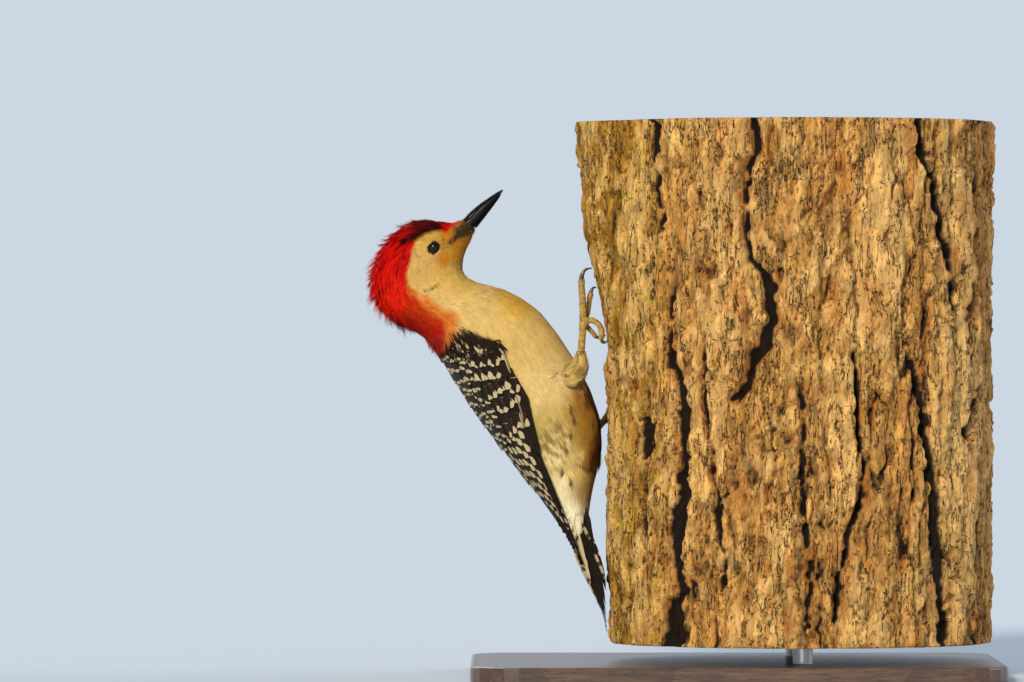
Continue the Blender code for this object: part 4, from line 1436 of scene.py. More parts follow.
def build_skin():
    """The bird's one skin: drawn in by the coat's depth, but not at the bill, with the coat's markings."""
    obj = remeshed("skin", FLESH, SKIN_VOXEL, SKIN_SMOOTHING, skin_down)
    points = chin_tucked(mesh_points(obj))
    depth = SKIN_DEPTH * ramp(np.linalg.norm(points - BILL_BASE, axis=1), 5.0, 11.0)
    wing_tree = tree_of("wing_left", "wing_right")
    to_wing = np.array([wing_tree.find_nearest(Vector(p))[3] for p in points])
    share = wing_share(points)
    on_wing = ramp(to_wing, 1.6, 0.8) * ramp(over_trunk(points), 0.2, 0.9) * ramp(share, 0.86, 0.80)
    wing_limit = 0.2 + NO_LIMIT * ramp(share, 0.88, 0.76)
    points = drawn_to_trunk(points, np.where(to_wing < 2.5, wing_limit, NO_LIMIT))
    colour = toward(body_colour(points), WING_INK, on_wing)
    points = points - mesh_normals(obj) * (depth + 0.6 * on_wing)[:, None]
    for y_sign, _ in SIDES:
        points = merged_with_trunk(points, y_sign, SKIN_DEPTH)
    move_points(obj, points)
    paint(obj, "tint", colour)
    settle(obj, "cream_plumage", *FLESH)


build_skin()


def sheet_tree(grid):
    """A sheet's points as a surface for rays."""
    rows, columns = grid.shape[:2]
    corners = ((i * columns + j, i * columns + j + 1) for i in range(rows - 1) for j in range(columns - 1))
    quads = [(a, b, b + columns, a + columns) for a, b in corners]
    return BVHTree.FromPolygons([Vector(p) for p in grid.reshape(-1, 3)], quads)


wing_cover = sheet_tree(wings.grid[::4, 20:-20:4, :3])
UNDER_WING = 16.0  # feathers up to this far under the wings' surface are hidden by it


def under_wings(points, normals):
    hits = (wing_cover.ray_cast(Vector(p - 2 * n), Vector(n), UNDER_WING) for p, n in zip(points, normals))
    return np.array([hit[3] is not None for hit in hits])


NOSE_EDGE = ((-66.5, 201.0), (-72.5, 206.0))


def eye_clearance(points):
    """Distance to the nearer eye's middle, seen from the side."""
    away = np.hypot(points[:, 0] - EYE[0], points[:, 2] - EYE[2])
    return away + np.where(np.abs(points[:, 1]) > 6, 0, 50)


def coat_root_ok(points, normals):
    """Where the coat grows: not on the bill, the eyes or the tail, and not under the wings."""
    nose = side_distance(points[:, (0, 2)], NOSE_EDGE) > 0.4
    on_tail = (points[:, 0] > -17.3) & (points[:, 2] < 66)
    clear = (eye_clearance(points) > 3.25) & (points[:, 2] > COVERT_END) & ~on_tail
    return nose & clear & ~under_wings(points, normals)


COAT_TRIES = 150000
LOOSENESS, LOOSE_SHARE = (0.25, 0.50, 1.0, 1.25), (0.30, 0.26, 0.34, 0.10)  # tufts lie close or stand out


class Coat:
    """The body's tufts: their places, and one array for each side of their look."""

    def __init__(self):
        self.row, self.column, self.root = scatter(
            body, COAT_TRIES, lambda p: coat_at(p[:, (0, 2)])[1], coat_root_ok
        )
        places = self.root[:, (0, 2)]
        self.redness = -side_distance(places, CROWN_EDGE)
        self.length, _, self.lift, self.width = coat_at(places)
        self.length = self.length * rng.uniform(0.85, 1.15, len(places))
        self.lift = self.lift * ramp(self.redness, -0.5, 2.5) + 0.05
        self.lift = self.lift * rng.choice(LOOSENESS, size=len(places), p=LOOSE_SHARE)
        self.shorten_at_eye()
        self.lift = self.lift * (0.40 + 0.60 * ramp(np.abs(self.root[:, 1]), 11, 4))
        self.heading = rng.normal(0, 0.06, len(places)) * (1 + self.lift)
        self.raise_at_wing()
        self.raise_at_skirt()

    def ahead(self, length):
        """Points and normals a length further on from the roots."""
        still = np.zeros(len(length))
        point, _, _, normal = body.read(*body.step(self.row, self.column, length, still, still))
        return point, normal

    def shorten_at_eye(self):
        """Tufts that would reach over an eye end at its rim."""
        ends = (self.ahead(self.length)[0], self.ahead(self.length / 2)[0])
        over_eye = np.minimum(*map(eye_clearance, ends)) < 3.2
        room = (eye_clearance(self.root) - 2.9) / np.maximum(self.length, 0.1)
        self.length = self.length * np.clip(room, 0.25, 1) ** over_eye

    def raise_at_wing(self):
        """Tufts whose tips would lie under the wings' upper edge lie over it instead."""
        by_shoulder = np.flatnonzero((self.root[:, 2] > 134) & (self.root[:, 2] < 166))
        point, normal = self.ahead(self.length)
        self.lift[by_shoulder] += 3.2 * under_wings(point[by_shoulder], normal[by_shoulder])

    def raise_at_skirt(self):
        """The belly's last tufts stand out a little over the vent."""
        from_skirt = side_distance(self.ahead(self.length)[0][:, (0, 2)], SKIRT) - 0.6
        self.lift = self.lift + 1.3 * ramp(np.abs(from_skirt), 2.8, 0.8) * ramp(self.root[:, 0], -22, -8)

    def build(self, name, chosen, blades, finish, slot):
        """One piece of the coat, from the chosen tufts."""
        look = {
            "length": self.length[chosen],
            "lift": self.lift[chosen],
            "width": self.width[chosen],
            "spread": 0.17 - 0.24 * ramp(self.lift[chosen], 0.4, 1.6),
            "heading": self.heading[chosen],
            "blades": blades,
        }
        places = self.row[chosen], self.column[chosen]
        settle(grow(name, body, *places, look, finish, lambda points, tuft: body_colour(points)), slot)


def build_coat():
    coat = Coat()
    x, y, z = coat.root.T
    red, on_head, on_breast = coat.redness > 0, z > 150 + 0.35 * (x + 90), z > 130
    for _, side in SIDES:
        here = (y < 0) == (side == "right")
        coat.build("coat_red_" + side, here & red & on_head, 11, red_feathers, "red_plumage")
        coat.build("coat_face_" + side, here & ~red & on_head, 9, cream_feathers, "cream_plumage")
        coat.build("coat_breast_" + side, here & ~on_head & on_breast, 11, cream_feathers, "cream_plumage")
        coat.build("coat_belly_" + side, here & ~on_head & ~on_breast, 11, cream_feathers, "cream_plumage")


build_coat()

THIGH_TRIES, THIGH_SPACING = 9000, 1.1
THIGH_BUFF, THIGH_STREAK = np.array((0.70, 0.45, 0.130)), np.array((0.26, 0.145, 0.038))


def thigh_colour(points):
    """The body's colour where the leg leaves it, then buff with brown streaks."""
    streak = ramp(cloud(points / (1.5, 1.5, 4.0), 3, 3), 0.50, 0.64)[:, None]
    buff = THIGH_BUFF * (1 - streak) + THIGH_STREAK * streak
    on_leg = ramp(over_trunk(points), 1.0, 4.0)[:, None]
    return body_colour(points) * (1 - on_leg) + buff * on_leg


def build_thigh_coat(y_sign, side):
    thigh = measure_thigh(y_sign, side)
    row, column, _ = scatter(
        thigh, THIGH_TRIES, lambda p: np.full(len(p), THIGH_SPACING), lambda p, n: over_trunk(p) > -0.4
    )
    slender = ramp(row, 14, 46)
    look = {
        "length": (7.0 - 4.6 * slender) * rng.uniform(0.8, 1.2, len(row)),
        "lift": rng.choice((0.1, 0.5, 1.1), size=len(row)) * (1 - 0.7 * slender),
        "width": 0.32 - 0.08 * slender,
        "spread": np.full(len(row), 0.16),
        "heading": rng.normal(0, 0.16, len(row)),
        "blades": 9,
    }
    name = "coat_thigh_" + side
    piece = grow(name, thigh, row, column, look, cream_feathers, lambda points, tuft: thigh_colour(points))
    settle(piece, "cream_plumage")


for y_sign, side in SIDES:
    build_thigh_coat(y_sign, side)
for y_sign, side in SIDES:
    settle(wing_feathers(-y_sign).build("wing_vanes_" + side, barred_vanes), "barred_plumage")
    settle(edge_plumes(-y_sign).build("wing_hem_" + side, barred_vanes), "barred_plumage")
    settle(shoulder_down(-y_sign), "barred_plumage")
settle(mantle_feathers().build("mantle_vanes", barred_vanes), "barred_plumage")
settle(pale_tail_feathers().build("tail_vanes_pale", tail_vanes), "barred_plumage", "tail")
settle(dark_tail_feathers().build("tail_vanes_dark", tail_vanes), "barred_plumage", "tail")


# ---------------------------------------------------------------- bill, eyes and bristles


def refined(name, nodes, voxel, smoothing, finish, slot):
    """A smooth close-meshed copy of hard parts, which stands for them."""
    obj = remeshed(name, nodes, voxel, smoothing, finish)
    settle(obj, slot, *nodes)
    return obj


def bill_finish():
    """Black horn with a blue-grey sheen, long fine scratches and a paler worn tip."""
    f = Finish("bill_horn")
    grain = f.noise(900, 4, at=f.stretch((1, 1, 1), turn=(0, math.radians(45), 0)))
    lengthwise = f.noise(1.0, 4, at=f.stretch((2600, 2600, 260), turn=(0, math.radians(-45), 0)))
    dark = f.mix(f.remap(f.noise(160, 3), 0.35, 0.7), (0.0008, 0.0010, 0.0016), (0.0024, 0.0028, 0.0044))
    worn = f.math("ADD", f.attribute("wear", "Fac"), f.math("MULTIPLY", lengthwise, 0.4))
    colour = f.mix(f.remap(worn, 0.75, 1.25), dark, (0.060, 0.036, 0.018))
    f.bump((lengthwise, 0.008), (grain, 0.008))
    rough = f.remap(lengthwise, 0.2, 0.8, 0.26, 0.38)
    return f.surface(base_color=colour, roughness=rough, specular_ior_level=0.13)


BILL_TIP = np.array((-52.8, 0.0, 220.4))
BILL_RUN = unit(BILL_TIP - BILL_BASE)
BILL_LENGTH = np.linalg.norm(BILL_TIP - BILL_BASE)
BILL_UP = unit(np.array((-0.71, 0, 0.70)))
NOSTRIL = np.array((-68.4, 0.0, 206.9))
BILL_VOXEL, BILL_SMOOTHING = 0.22, 7
GAP_SHARE = 0.45  # each half of the bill comes this far towards the other, so that the mouth is shut
SET_IN = 2.4  # the bill's base goes this far into the head
FULLER, RIDGE, GROOVE = 0.26, 0.30, 0.14  # how far the tip swells, the ridge rises and the groove sinks


def ridge_and_groove(points, share):
    """Rise of the upper bill's surface: a ridge along the top, and a groove from each nostril."""
    off = points - NOSTRIL
    run, rise = off @ BILL_RUN, off @ BILL_UP
    flank = np.abs(points[:, 1]) > 1.0
    groove = ramp(np.abs(rise), 0.8, 0.1) * ramp(run, 8, 2) * ramp(run, -3, 0) * flank
    culmen = ramp(rise, 0.0, 2.0) * ramp(share, 0.0, 0.2) * ramp(share, 1.0, 0.75)
    return RIDGE * culmen - GROOVE * groove


def build_bill():
    """The two halves of the bill, shut and set into the head."""
    finish = bill_finish()
    for node, upward in (("bill_upper", 1), ("bill_lower", -1)):
        obj = refined(node.replace("bill", "horn"), (node,), BILL_VOXEL, BILL_SMOOTHING, finish, "bill")
        points = mesh_points(obj)
        along = (points - BILL_BASE) @ BILL_RUN
        share = along / BILL_LENGTH
        height = (points - BILL_BASE) @ BILL_UP * upward
        points = points - BILL_UP * (upward * (GAP_SHARE * ramp(height, 1.8, 0.2)))[:, None]
        points = points - BILL_RUN * (SET_IN * ramp(along, 1.3, 0.1))[:, None]
        if upward > 0:
            points = points + mesh_normals(obj) * ridge_and_groove(points, share)[:, None]
        points = points + mesh_normals(obj) * (FULLER * ramp(share, 0.15, 0.60))[:, None]
        move_points(obj, points)
        paint(obj, "wear", ramp(share, 0.70, 1.05))


def eye_finish():
    """A wet eye: black pupil, dark red-brown iris with radial fibres, darker rim, clear coat over all."""
    f = Finish("eye_wet")
    radial, fibre, _ = f.split(f.attribute("iris"))
    fibre_at = {"X": f.math("MULTIPLY", fibre, 46.0), "Y": f.math("MULTIPLY", radial, 3.0)}
    fibres = f.noise(1.0, 3, at=f.add("CombineXYZ", fibre_at).outputs[0])
    iris = f.mix(fibres, (0.007, 0.0018, 0.0008), (0.022, 0.0050, 0.0018))
    colour = f.mix(f.remap(radial, 0.58, 0.64), (0.0006, 0.0005, 0.0006), iris)
    colour = f.mix(f.remap(radial, 0.82, 0.98), colour, (0.003, 0.002, 0.0015))
    f.bump((fibres, 0.004))
    rough = f.remap(fibres, 0.0, 1.0, 0.32, 0.42)
    return f.surface(
        base_color=colour, roughness=rough, specular_ior_level=0.03, coat_weight=0.70, coat_roughness=0.17
    )


def lid_finish():
    """Bare dusky skin round the eye, beaded and faintly oily, which turns feather-coloured at its rim."""
    f = Finish("lid_skin")
    beads = f.cells(2600)
    dust = f.noise(1400, 3)
    colour = f.mix(f.remap(dust, 0.3, 0.75), (0.014, 0.007, 0.004), (0.050, 0.028, 0.012))
    feathered = f.mix(f.remap(dust, 0.3, 0.7), (0.22, 0.12, 0.022), (0.52, 0.31, 0.070))
    colour = f.mix(f.attribute("rim", "Fac"), colour, feathered)
    f.bump((beads, 0.10), (dust, 0.04))
    rough = f.remap(beads, 0.1, 0.6, 0.42, 0.62)
    return f.surface(base_color=colour, roughness=rough, specular_ior_level=0.4)


OPENING = math.asin(2.95 / EYE_RADIUS)  # half angle of the eye's opening
BALL_RINGS, BALL_SEGMENTS, LID_SEGMENTS = 56, 64, 72
POLE = 0.002  # the ball's end rings stay this far, in radians, off its poles
LID_PROFILE = (  # past the lid's lip, height over the ball
    (0.00, 0.02), (0.02, 0.16), (0.07, 0.24), (0.13, 0.24),
    (0.20, 0.14), (0.30, -0.02), (0.34, -0.5), (0.08, -0.4),
)


def ball_point(y_sign, polar, around, radius):
    """A point near the eyeball: polar from the middle of the pupil, around from the front corner upward."""
    x, z = np.sin(polar) * np.cos(around), np.sin(polar) * np.sin(around)
    ball = np.stack(np.broadcast_arrays(x, y_sign * np.cos(polar), z), -1)
    return EYE * (1, -y_sign, 1) + ball * np.asarray(radius)[..., None]


def tube_faces(rings, segments, closed_rings=False):
    """Quads of a grid that wraps round its segments, and round its rings too if closed."""
    i = np.arange(rings if closed_rings else rings - 1)[:, None]
    j = np.arange(segments)[None]
    ahead, beside = (i + 1) % rings, (j + 1) % segments
    corners = (i * segments + j, i * segments + beside, ahead * segments + beside, ahead * segments + j)
    return np.stack(np.broadcast_arrays(*corners), -1).reshape(-1, 4)


def eye_faces(y_sign, *grid):
    """Faces that look outward on either side of the head."""
    faces = tube_faces(*grid)
    return faces if y_sign > 0 else faces[:, ::-1]


def build_ball(y_sign, side, wet):
    polar = np.linspace(POLE, math.pi - POLE, BALL_RINGS)[:, None]
    around = (np.arange(BALL_SEGMENTS) * 2 * np.pi / BALL_SEGMENTS)[None]
    bulge = 0.22 * ramp(polar, 0.75, 0.1)
    points = ball_point(y_sign, polar, around, EYE_RADIUS - 0.05 + bulge * np.ones_like(around))
    radial = np.sin(np.minimum(polar, math.pi / 2)) / math.sin(OPENING)
    fibre = np.abs(around / np.pi - 1)
    iris = np.stack(np.broadcast_arrays(radial, fibre, 0.0, 1.0), -1).reshape(-1, 4)
    faces = eye_faces(y_sign, BALL_RINGS, BALL_SEGMENTS)
    name = "eyeball_" + side
    ball = make_object(name, points.reshape(-1, 3), faces, wet, colours={"iris": np.clip(iris, 0, 1.2)})
    settle(ball, "eye", "eye_" + side)


def bell(around, degrees, width):
    """A soft peak round the eye at some angle."""
    off = (around - math.radians(degrees) + np.pi) % (2 * np.pi) - np.pi
    return np.exp(-((off / width) ** 2))


def build_lid(y_sign, side, lid_skin):
    around = np.arange(LID_SEGMENTS) * 2 * np.pi / LID_SEGMENTS
    opening = OPENING * (1 - 0.07 * np.sin(around) ** 2)
    opening = opening + 0.13 * bell(around, 205, 0.33) + 0.06 * bell(around, 10, 0.30)
    beads = 0.05 * np.sin(around * 23) + 0.03 * np.sin(around * 41 + 1)
    rings = [
        ball_point(y_sign, opening + past, around, EYE_RADIUS + height + beads * (0.02 < past < 0.3))
        for past, height in LID_PROFILE
    ]
    faces = eye_faces(y_sign, len(LID_PROFILE), LID_SEGMENTS, True)
    lid = make_object("eyelid_" + side, np.concatenate(rings), faces, lid_skin)
    paint(lid, "rim", np.repeat([ramp(past, 0.10, 0.20) for past, _ in LID_PROFILE], LID_SEGMENTS))
    settle(lid, "leg_skin")


SNOUT_GUIDES = (  # as GUIDES, from the eyes to halfway along the bill
    (-80.0, 205.3, -72.0, 193.0),
    (-73.4, 205.6, -65.0, 201.0),
    (-67.8, 210.4, -62.2, 205.9),
    (-62.6, 214.5, -59.3, 210.0),
)
SNOUT_COLUMNS, SNOUT_JUMP = 60, 0.3
BRISTLE_TRIES, BRISTLE_SPACING = 6000, 0.62
BRISTLE_SHIFT = (1.5, 0, 1)  # bristles have the colour of a place this far behind them


def bristle_colour(points, tuft):
    """Colour of the coat behind the bristles."""
    return body_colour(points - BRISTLE_SHIFT)


def build_bristles():
    """Dark bristles from the forehead over the nostrils, and short chin feathers, all along the bill."""
    snout = measure(("head", "bill_upper", "bill_lower"), SNOUT_GUIDES, SNOUT_COLUMNS, SNOUT_JUMP)
    row, column, _ = scatter(
        snout, BRISTLE_TRIES, lambda p: np.full(len(p), BRISTLE_SPACING), lambda p, n: p[:, 2] > 0
    )
    length = rng.uniform(2.2, 3.8, len(row))
    low = np.abs((column / SNOUT_COLUMNS * 2) % 2 - 1) < 0.42
    inside = (row > 4) & (row + length / 0.42 < 22.5 + 6 * low)
    row, column, length = row[inside], column[inside], length[inside]
    count = len(row)
    look = {
        "length": length,
        "lift": (0.25 + 1.1 * ramp(row, 6, 15)) * rng.uniform(0.5, 1.1, count),
        "width": np.full(count, 0.20),
        "spread": np.full(count, 0.12),
        "heading": rng.normal(0, 0.12, count),
        "blades": 6,
    }
    settle(grow("bristles", snout, row, column, look, dark_feathers, bristle_colour), "cream_plumage")


build_bill()
wet_eye, lid_skin = eye_finish(), lid_finish()
for y_sign, side in SIDES:
    build_ball(y_sign, side, wet_eye)
    build_lid(y_sign, side, lid_skin)
build_bristles()


# ---------------------------------------------------------------- feet

FOOT_MIDDLES = {"right": (-12.0, -14.0, 154.5), "left": (0.8, 29.6, 107.6)}
SCUTE_STEP = 1.05
FOOT_VOXEL, FOOT_SMOOTHING = 0.24, 3
CLAW_VOXEL, CLAW_SMOOTHING = 0.15, 2
TOE_PUSH, CLAW_PUSH = 0.7, 0.8  # how far toes and claws swell towards each other where they meet


def foot_finish():
    """Scaly skin: ochre-grey scutes with dark edges."""
    f = Finish("foot_scales")
    scute = f.attribute("scute", "Fac")
    scales = f.cells(1900)
    dust = f.noise(420, 4)
    colour = f.mix(f.remap(dust, 0.3, 0.7), (0.29, 0.160, 0.026), (0.58, 0.36, 0.070))
    colour = f.mix(f.remap(scute, 0.30, 0.0), colour, (0.12, 0.060, 0.014))
    colour = f.mix(f.math("MULTIPLY", f.remap(scales, 0.35, 0.7), 0.5), colour, (0.15, 0.080, 0.020))
    f.bump((scute, 0.18), (scales, -0.10), (dust, 0.08))
    return f.surface(base_color=colour, roughness=f.remap(dust, 0.2, 0.8, 0.45, 0.65), specular_ior_level=0.4)


def claw_finish():
    """Dark horn that pales in streaks."""
    f = Finish("claw_horn")
    lines = f.noise(700, 4, distortion=1.5)
    colour = f.mix(f.remap(lines, 0.3, 0.7), (0.018, 0.011, 0.007), (0.085, 0.050, 0.028))
    f.bump((lines, 0.06))
    rough = f.remap(lines, 0.2, 0.8, 0.25, 0.42)
    return f.surface(base_color=colour, roughness=rough, coat_weight=0.3, coat_roughness=0.2)


def facing_near(obj, tree):
    """1 where an object's surface faces another part close by, 0 where it looks away or is far from it."""
    points = mesh_points(obj)
    hits = [tree.find_nearest(Vector(p)) for p in points]
    to_other = unit(np.array([hit[0] for hit in hits]) - points)
    distance = np.array([hit[3] for hit in hits])
    return ramp(distance, 1.3, 0.3) * ramp((mesh_normals(obj) * to_other).sum(1), 0.3, 0.9)


def scutes(points, side):
    """1 on a foot's scutes, 0 in the lines between; in places they are bands round the foot's middle."""
    uneven = 2.6 * (cloud(points / 2.4, 3, 3) - 0.5)
    distance = np.linalg.norm(points - FOOT_MIDDLES[side], axis=1) + uneven
    distance = distance + 0.7 * (cloud(points / 0.9, 2, 5) - 0.5)
    bands = np.abs(distance / SCUTE_STEP % 1 * 2 - 1)
    return 1 - (1 - bands) * ramp(cloud(points / 1.7, 2, 6), 0.34, 0.56)


def build_feet():
    scales, horn = foot_finish(), claw_finish()
    for _, side in SIDES:
        claw_nodes = [f"claw_{side}_{k}" for k in (1, 2, 3, 4)]
        node = "foot_" + side
        foot = refined("scaly_" + node, (node,), FOOT_VOXEL, FOOT_SMOOTHING, scales, "leg_skin")
        points = mesh_points(foot)
        scute = scutes(points, side)
        plump = 0.15 * ramp(scute, 0.0, 0.6) + 0.42 * (cloud(points / 1.5, 3, 8) - 0.5)
        plump = plump + TOE_PUSH * facing_near(foot, tree_of(*claw_nodes))
        move_points(foot, points + mesh_normals(foot) * plump[:, None])
        paint(foot, "scute", scute)
        nails = refined("claws_" + side, claw_nodes, CLAW_VOXEL, CLAW_SMOOTHING, horn, "claw")
        into_toe = CLAW_PUSH * facing_near(nails, tree_of(node))
        move_points(nails, mesh_points(nails) + mesh_normals(nails) * into_toe[:, None])


build_feet()


# ---------------------------------------------------------------- trunk with its bark

BARK_COLUMNS, BARK_LEVELS, CUT_RINGS = 372, 232, 12
OLIVE_FADE = (-0.050, -0.030)  # between these places along x, in metres, the front plate's olive turns tan
BARK_SEAM = 106.0  # degrees from the front towards the left, in a fissure behind the bird's far side
CLOSE_ARC = (15.0, -125.0)  # the side towards the camera, where columns stand closer
SCALE_COLUMNS = 84
FISSURES = (  # the deep ones towards the camera, from the top down: (x, z, half width)
    ((20.5, 256.0, 0.9), (21.5, 235.0, 1.3), (25.0, 197.0, 0.9), (30.5, 175.0, 0.8), (30.0, 155.0, 1.0),
     (28.5, 138.0, 1.4), (35.5, 121.0, 2.2), (36.5, 104.0, 2.5), (36.0, 86.0, 1.8), (35.5, 72.0, 3.2),
     (33.0, 52.0, 3.4), (33.0, 38.0, 2.2), (35.5, 22.0, 1.6), (31.0, 12.0, 4.2), (31.0, -6.0, 5.5)),
    ((71.5, 256.0, 1.8), (72.0, 240.0, 1.6), (67.0, 219.0, 1.5), (68.5, 186.0, 1.6), (78.5, 172.0, 2.8),
     (79.5, 155.0, 3.2), (76.0, 142.0, 3.0), (69.5, 134.0, 2.8), (66.0, 120.0, 1.6), (58.0, 116.0, 1.2)),
    ((152.0, 256.0, 1.6), (155.0, 240.0, 2.0), (159.5, 226.0, 1.6), (168.0, 188.0, 2.2), (171.0, 160.0, 1.4)),
    ((121.0, 140.0, 0.9), (123.0, 111.0, 1.6), (125.5, 72.0, 1.2), (118.0, 52.0, 2.0), (113.0, 28.0, 1.4),
     (111.0, 8.0, 1.6)),
    ((150.0, 136.0, 0.9), (156.0, 112.0, 2.2), (160.0, 78.0, 2.6), (164.0, 40.0, 2.4), (166.0, -6.0, 2.6)),
    ((17.0, 108.0, 1.2), (18.5, 99.0, 2.3), (17.5, 90.0, 2.0), (16.0, 86.0, 0.8)),
    ((47.0, 150.0, 0.7), (46.0, 128.0, 1.0), (49.0, 96.0, 0.8), (54.0, 52.0, 1.1), (57.0, 26.0, 0.8)),
    ((93.0, 132.0, 0.8), (96.0, 104.0, 1.0), (94.0, 70.0, 1.1), (99.0, 34.0, 0.9), (97.0, 4.0, 1.2)),
)
FAR_FISSURES = (30.0, 52.0, 76.0, 101.0, 126.0, 150.0, 172.0, 204.0)  # degrees to the left of the front
JOG_STEP = 5.6  # a drawn fissure jogs aside every few millimetres of its height


def bark_angles():
    """Angles of the columns, closer together on the side that is seen most."""
    degrees = np.linspace(BARK_SEAM, BARK_SEAM - 360, 3601)
    left, right = CLOSE_ARC
    density = 1 + 1.3 * ramp(degrees, left + 12, left) * ramp(degrees, right - 12, right)
    steps = np.concatenate([[0], np.cumsum((density[1:] + density[:-1]) / 2)])
    return np.radians(np.interp(np.linspace(0, steps[-1], BARK_COLUMNS + 1)[:-1], steps, degrees))


def terraces(p, steps):
    """Noise cut into flat steps with short slopes between, like flaking layers."""
    level = p * steps
    return (np.floor(level) + ramp(level - np.floor(level), 0.30, 0.55)) / steps


def drawn_fissures(points):
    """How deep inside one of the drawn fissures a point lies, from 0 to 1; they face the camera's side."""
    places = points[..., (0, 2)].reshape(-1, 2)
    places = places + (cloud(places / (5.0, 9.0), 3, 45)[:, None] - 0.5) * (2.6, 0.0)
    places = places + (cloud(places / (1.6, 2.2), 2, 46)[:, None] - 0.5) * (2.2, 0.0)
    step = np.floor(places[:, 1:] / JOG_STEP + 2.5 * cloud(places / (9.0, 30.0), 2, 48)[:, None])
    jog, stretch = (hashed(step, 53) - 0.5) * 1.5, 0.72 + 0.56 * hashed(step, 59)
    places = places + jog[:, None] * (1.0, 0.0)
    deep = np.zeros(len(places))
    for line in FISSURES:
        x, z, half = np.array(line).T
        inside = (places[:, 1] <= z[0]) & (places[:, 1] >= z[-1])
        width = np.interp(places[:, 1], z[::-1], half[::-1])
        off = np.abs(side_distance(places, np.stack([x, z], 1)))
        deep = np.maximum(deep, ramp(off / (width * stretch), 1.10, 0.72) * inside)
    return deep.reshape(points.shape[:-1]) * ramp(points[..., 1], 4, -4)


def far_fissures(angle, height):
    """How deep inside a fissure of the far side a point lies; each wanders about its own upright line."""
    deep = np.zeros(angle.shape)
    for k, middle_angle in enumerate(FAR_FISSURES):
        at = np.stack([height / 26, 0 * height + 7.3 * k], -1)
        wander = (cloud(at, 3, 47) - 0.5) * 22 + (cloud(at * (6, 1), 3, 48) - 0.5) * 4
        width = 0.15 + 1.9 * ramp(cloud(at * (1.5, 1), 2, 49), 0.40, 0.66)
        off = np.abs((np.degrees(angle) - middle_angle - wander + 180) % 360 - 180)
        deep = np.maximum(deep, ramp(off / width, 1.1, 0.7) * ramp(width, 0.4, 0.9))
    return deep


def wandering(points, size, half, seed):
    """Long upright cracks: 1 where stretched noise passes its middle level, 0 further off."""
    level = noise(points / size, seed) * 0.8 + noise(points / np.array(size) * 2.3, seed + 1) * 0.2
    return ramp(np.abs(level - 0.5), half, half * 0.3)


def bark_relief(points, angle, height):
    """Height of the bark's detail in millimetres, how deep in a fissure each place lies, and its tone."""
    turn = -np.degrees(angle) / 360 + 0.5
    warp = cloud(points / (9, 9, 12), 3, 41) - 0.5
    torn = cloud(points / (4.0, 4.0, 11), 4, 71)
    fine = cloud(points / (1.5, 1.5, 2.6), 3, 91)
    side = wandering(points + (7 * warp[..., None]), (9, 9, 50), 0.085, 61) * ramp(torn, 0.34, 0.50)
    deep = blurred(np.maximum(drawn_fissures(points), far_fissures(angle, height)), 1)
    at = np.stack([turn * SCALE_COLUMNS + warp * 2.0, height / 11 + warp * 1.6], -1)
    scale_edge, scale = cracks(at, SCALE_COLUMNS, 65)
    breaks = ramp(scale_edge, 0.13, 0.02) * ramp(cloud(points / (10, 10, 14), 3, 67), 0.50, 0.62)
    swell = terraces(noise(points / (17, 17, 90) + 0.35 * warp[..., None], 49), 4) - 0.5
    layers = terraces(cloud(points / (10, 10, 24), 3, 81) + 0.25 * (torn - 0.5), 9)
    relief = (
        swell * 3.6 - deep * 4.8 - side * 2.6 - breaks * 1.8 + (scale - 0.5) * 1.4
        + (layers - 0.5) * 3.2 + (torn - 0.5) * 2.4 + (fine - 0.5) * 1.6
    )
    # tone rises with the swell's height; the finish paints high places pale, a painted highlight
    tone = np.clip(0.5 + 0.9 * swell + 0.35 * (scale - 0.5) + 1.0 * (torn - 0.5), 0, 1)
    return relief, np.maximum(deep, side * 0.55), tone


def log_grid(axis, outward):
    """The CAD log's side as a grid of heights, distances from its axis and points."""
    points, triangles = node_mesh("perch_trunk")
    low, high = points[:, 2].min(), points[:, 2].max()
    tree = BVHTree.FromPolygons([Vector(p) for p in points], triangles.tolist())
    height = np.linspace(low, high, BARK_LEVELS)
    inside = np.clip(height, low + 0.2, high - 0.2)
    starts = axis + np.stack([0 * height, 0 * height, inside], 1)
    radius = cast(tree, starts, np.broadcast_to(outward, (BARK_LEVELS, *outward.shape)), 200)
    radius = blurred(filled(radius, np.isnan(radius)), 3)
    upward = (0, 0, 1) * height[:, None, None]
    surface = starts[:, None] * (1, 1, 0) + outward[None] * radius[..., None] + upward
    return height, radius, surface


HOLD_ARC = 0.62  # radians either side of the front, where the bird may touch the bark
HOLD_GAP, HOLD_FADE = 0.6, 7.0  # relief starts this far from feet, claws and tail, and grows over the fade


def free_share(surface, angle):
    """How freely the bark's detail may rise: hardly at all where the bird holds on."""
    claws = [f"claw_{side}_{k}" for side in ("left", "right") for k in (1, 2, 3, 4)]
    grip, _ = node_mesh(*claws, "foot_left", "foot_right", "tail")
    holds = BVHTree.FromPolygons([Vector(p) for p in grip], [(k, k + 1, k + 2) for k in range(len(grip) - 2)])
    in_arc = np.abs((angle + np.pi) % (2 * np.pi) - np.pi) < HOLD_ARC
    free = np.ones(surface.shape[:2])
    for i, j in np.ndindex(free.shape):
        if in_arc[j]:
            free[i, j] = min((holds.find_nearest(Vector(surface[i, j]))[3] - HOLD_GAP) / HOLD_FADE, 1)
    return np.clip(free, 0.04, 1)


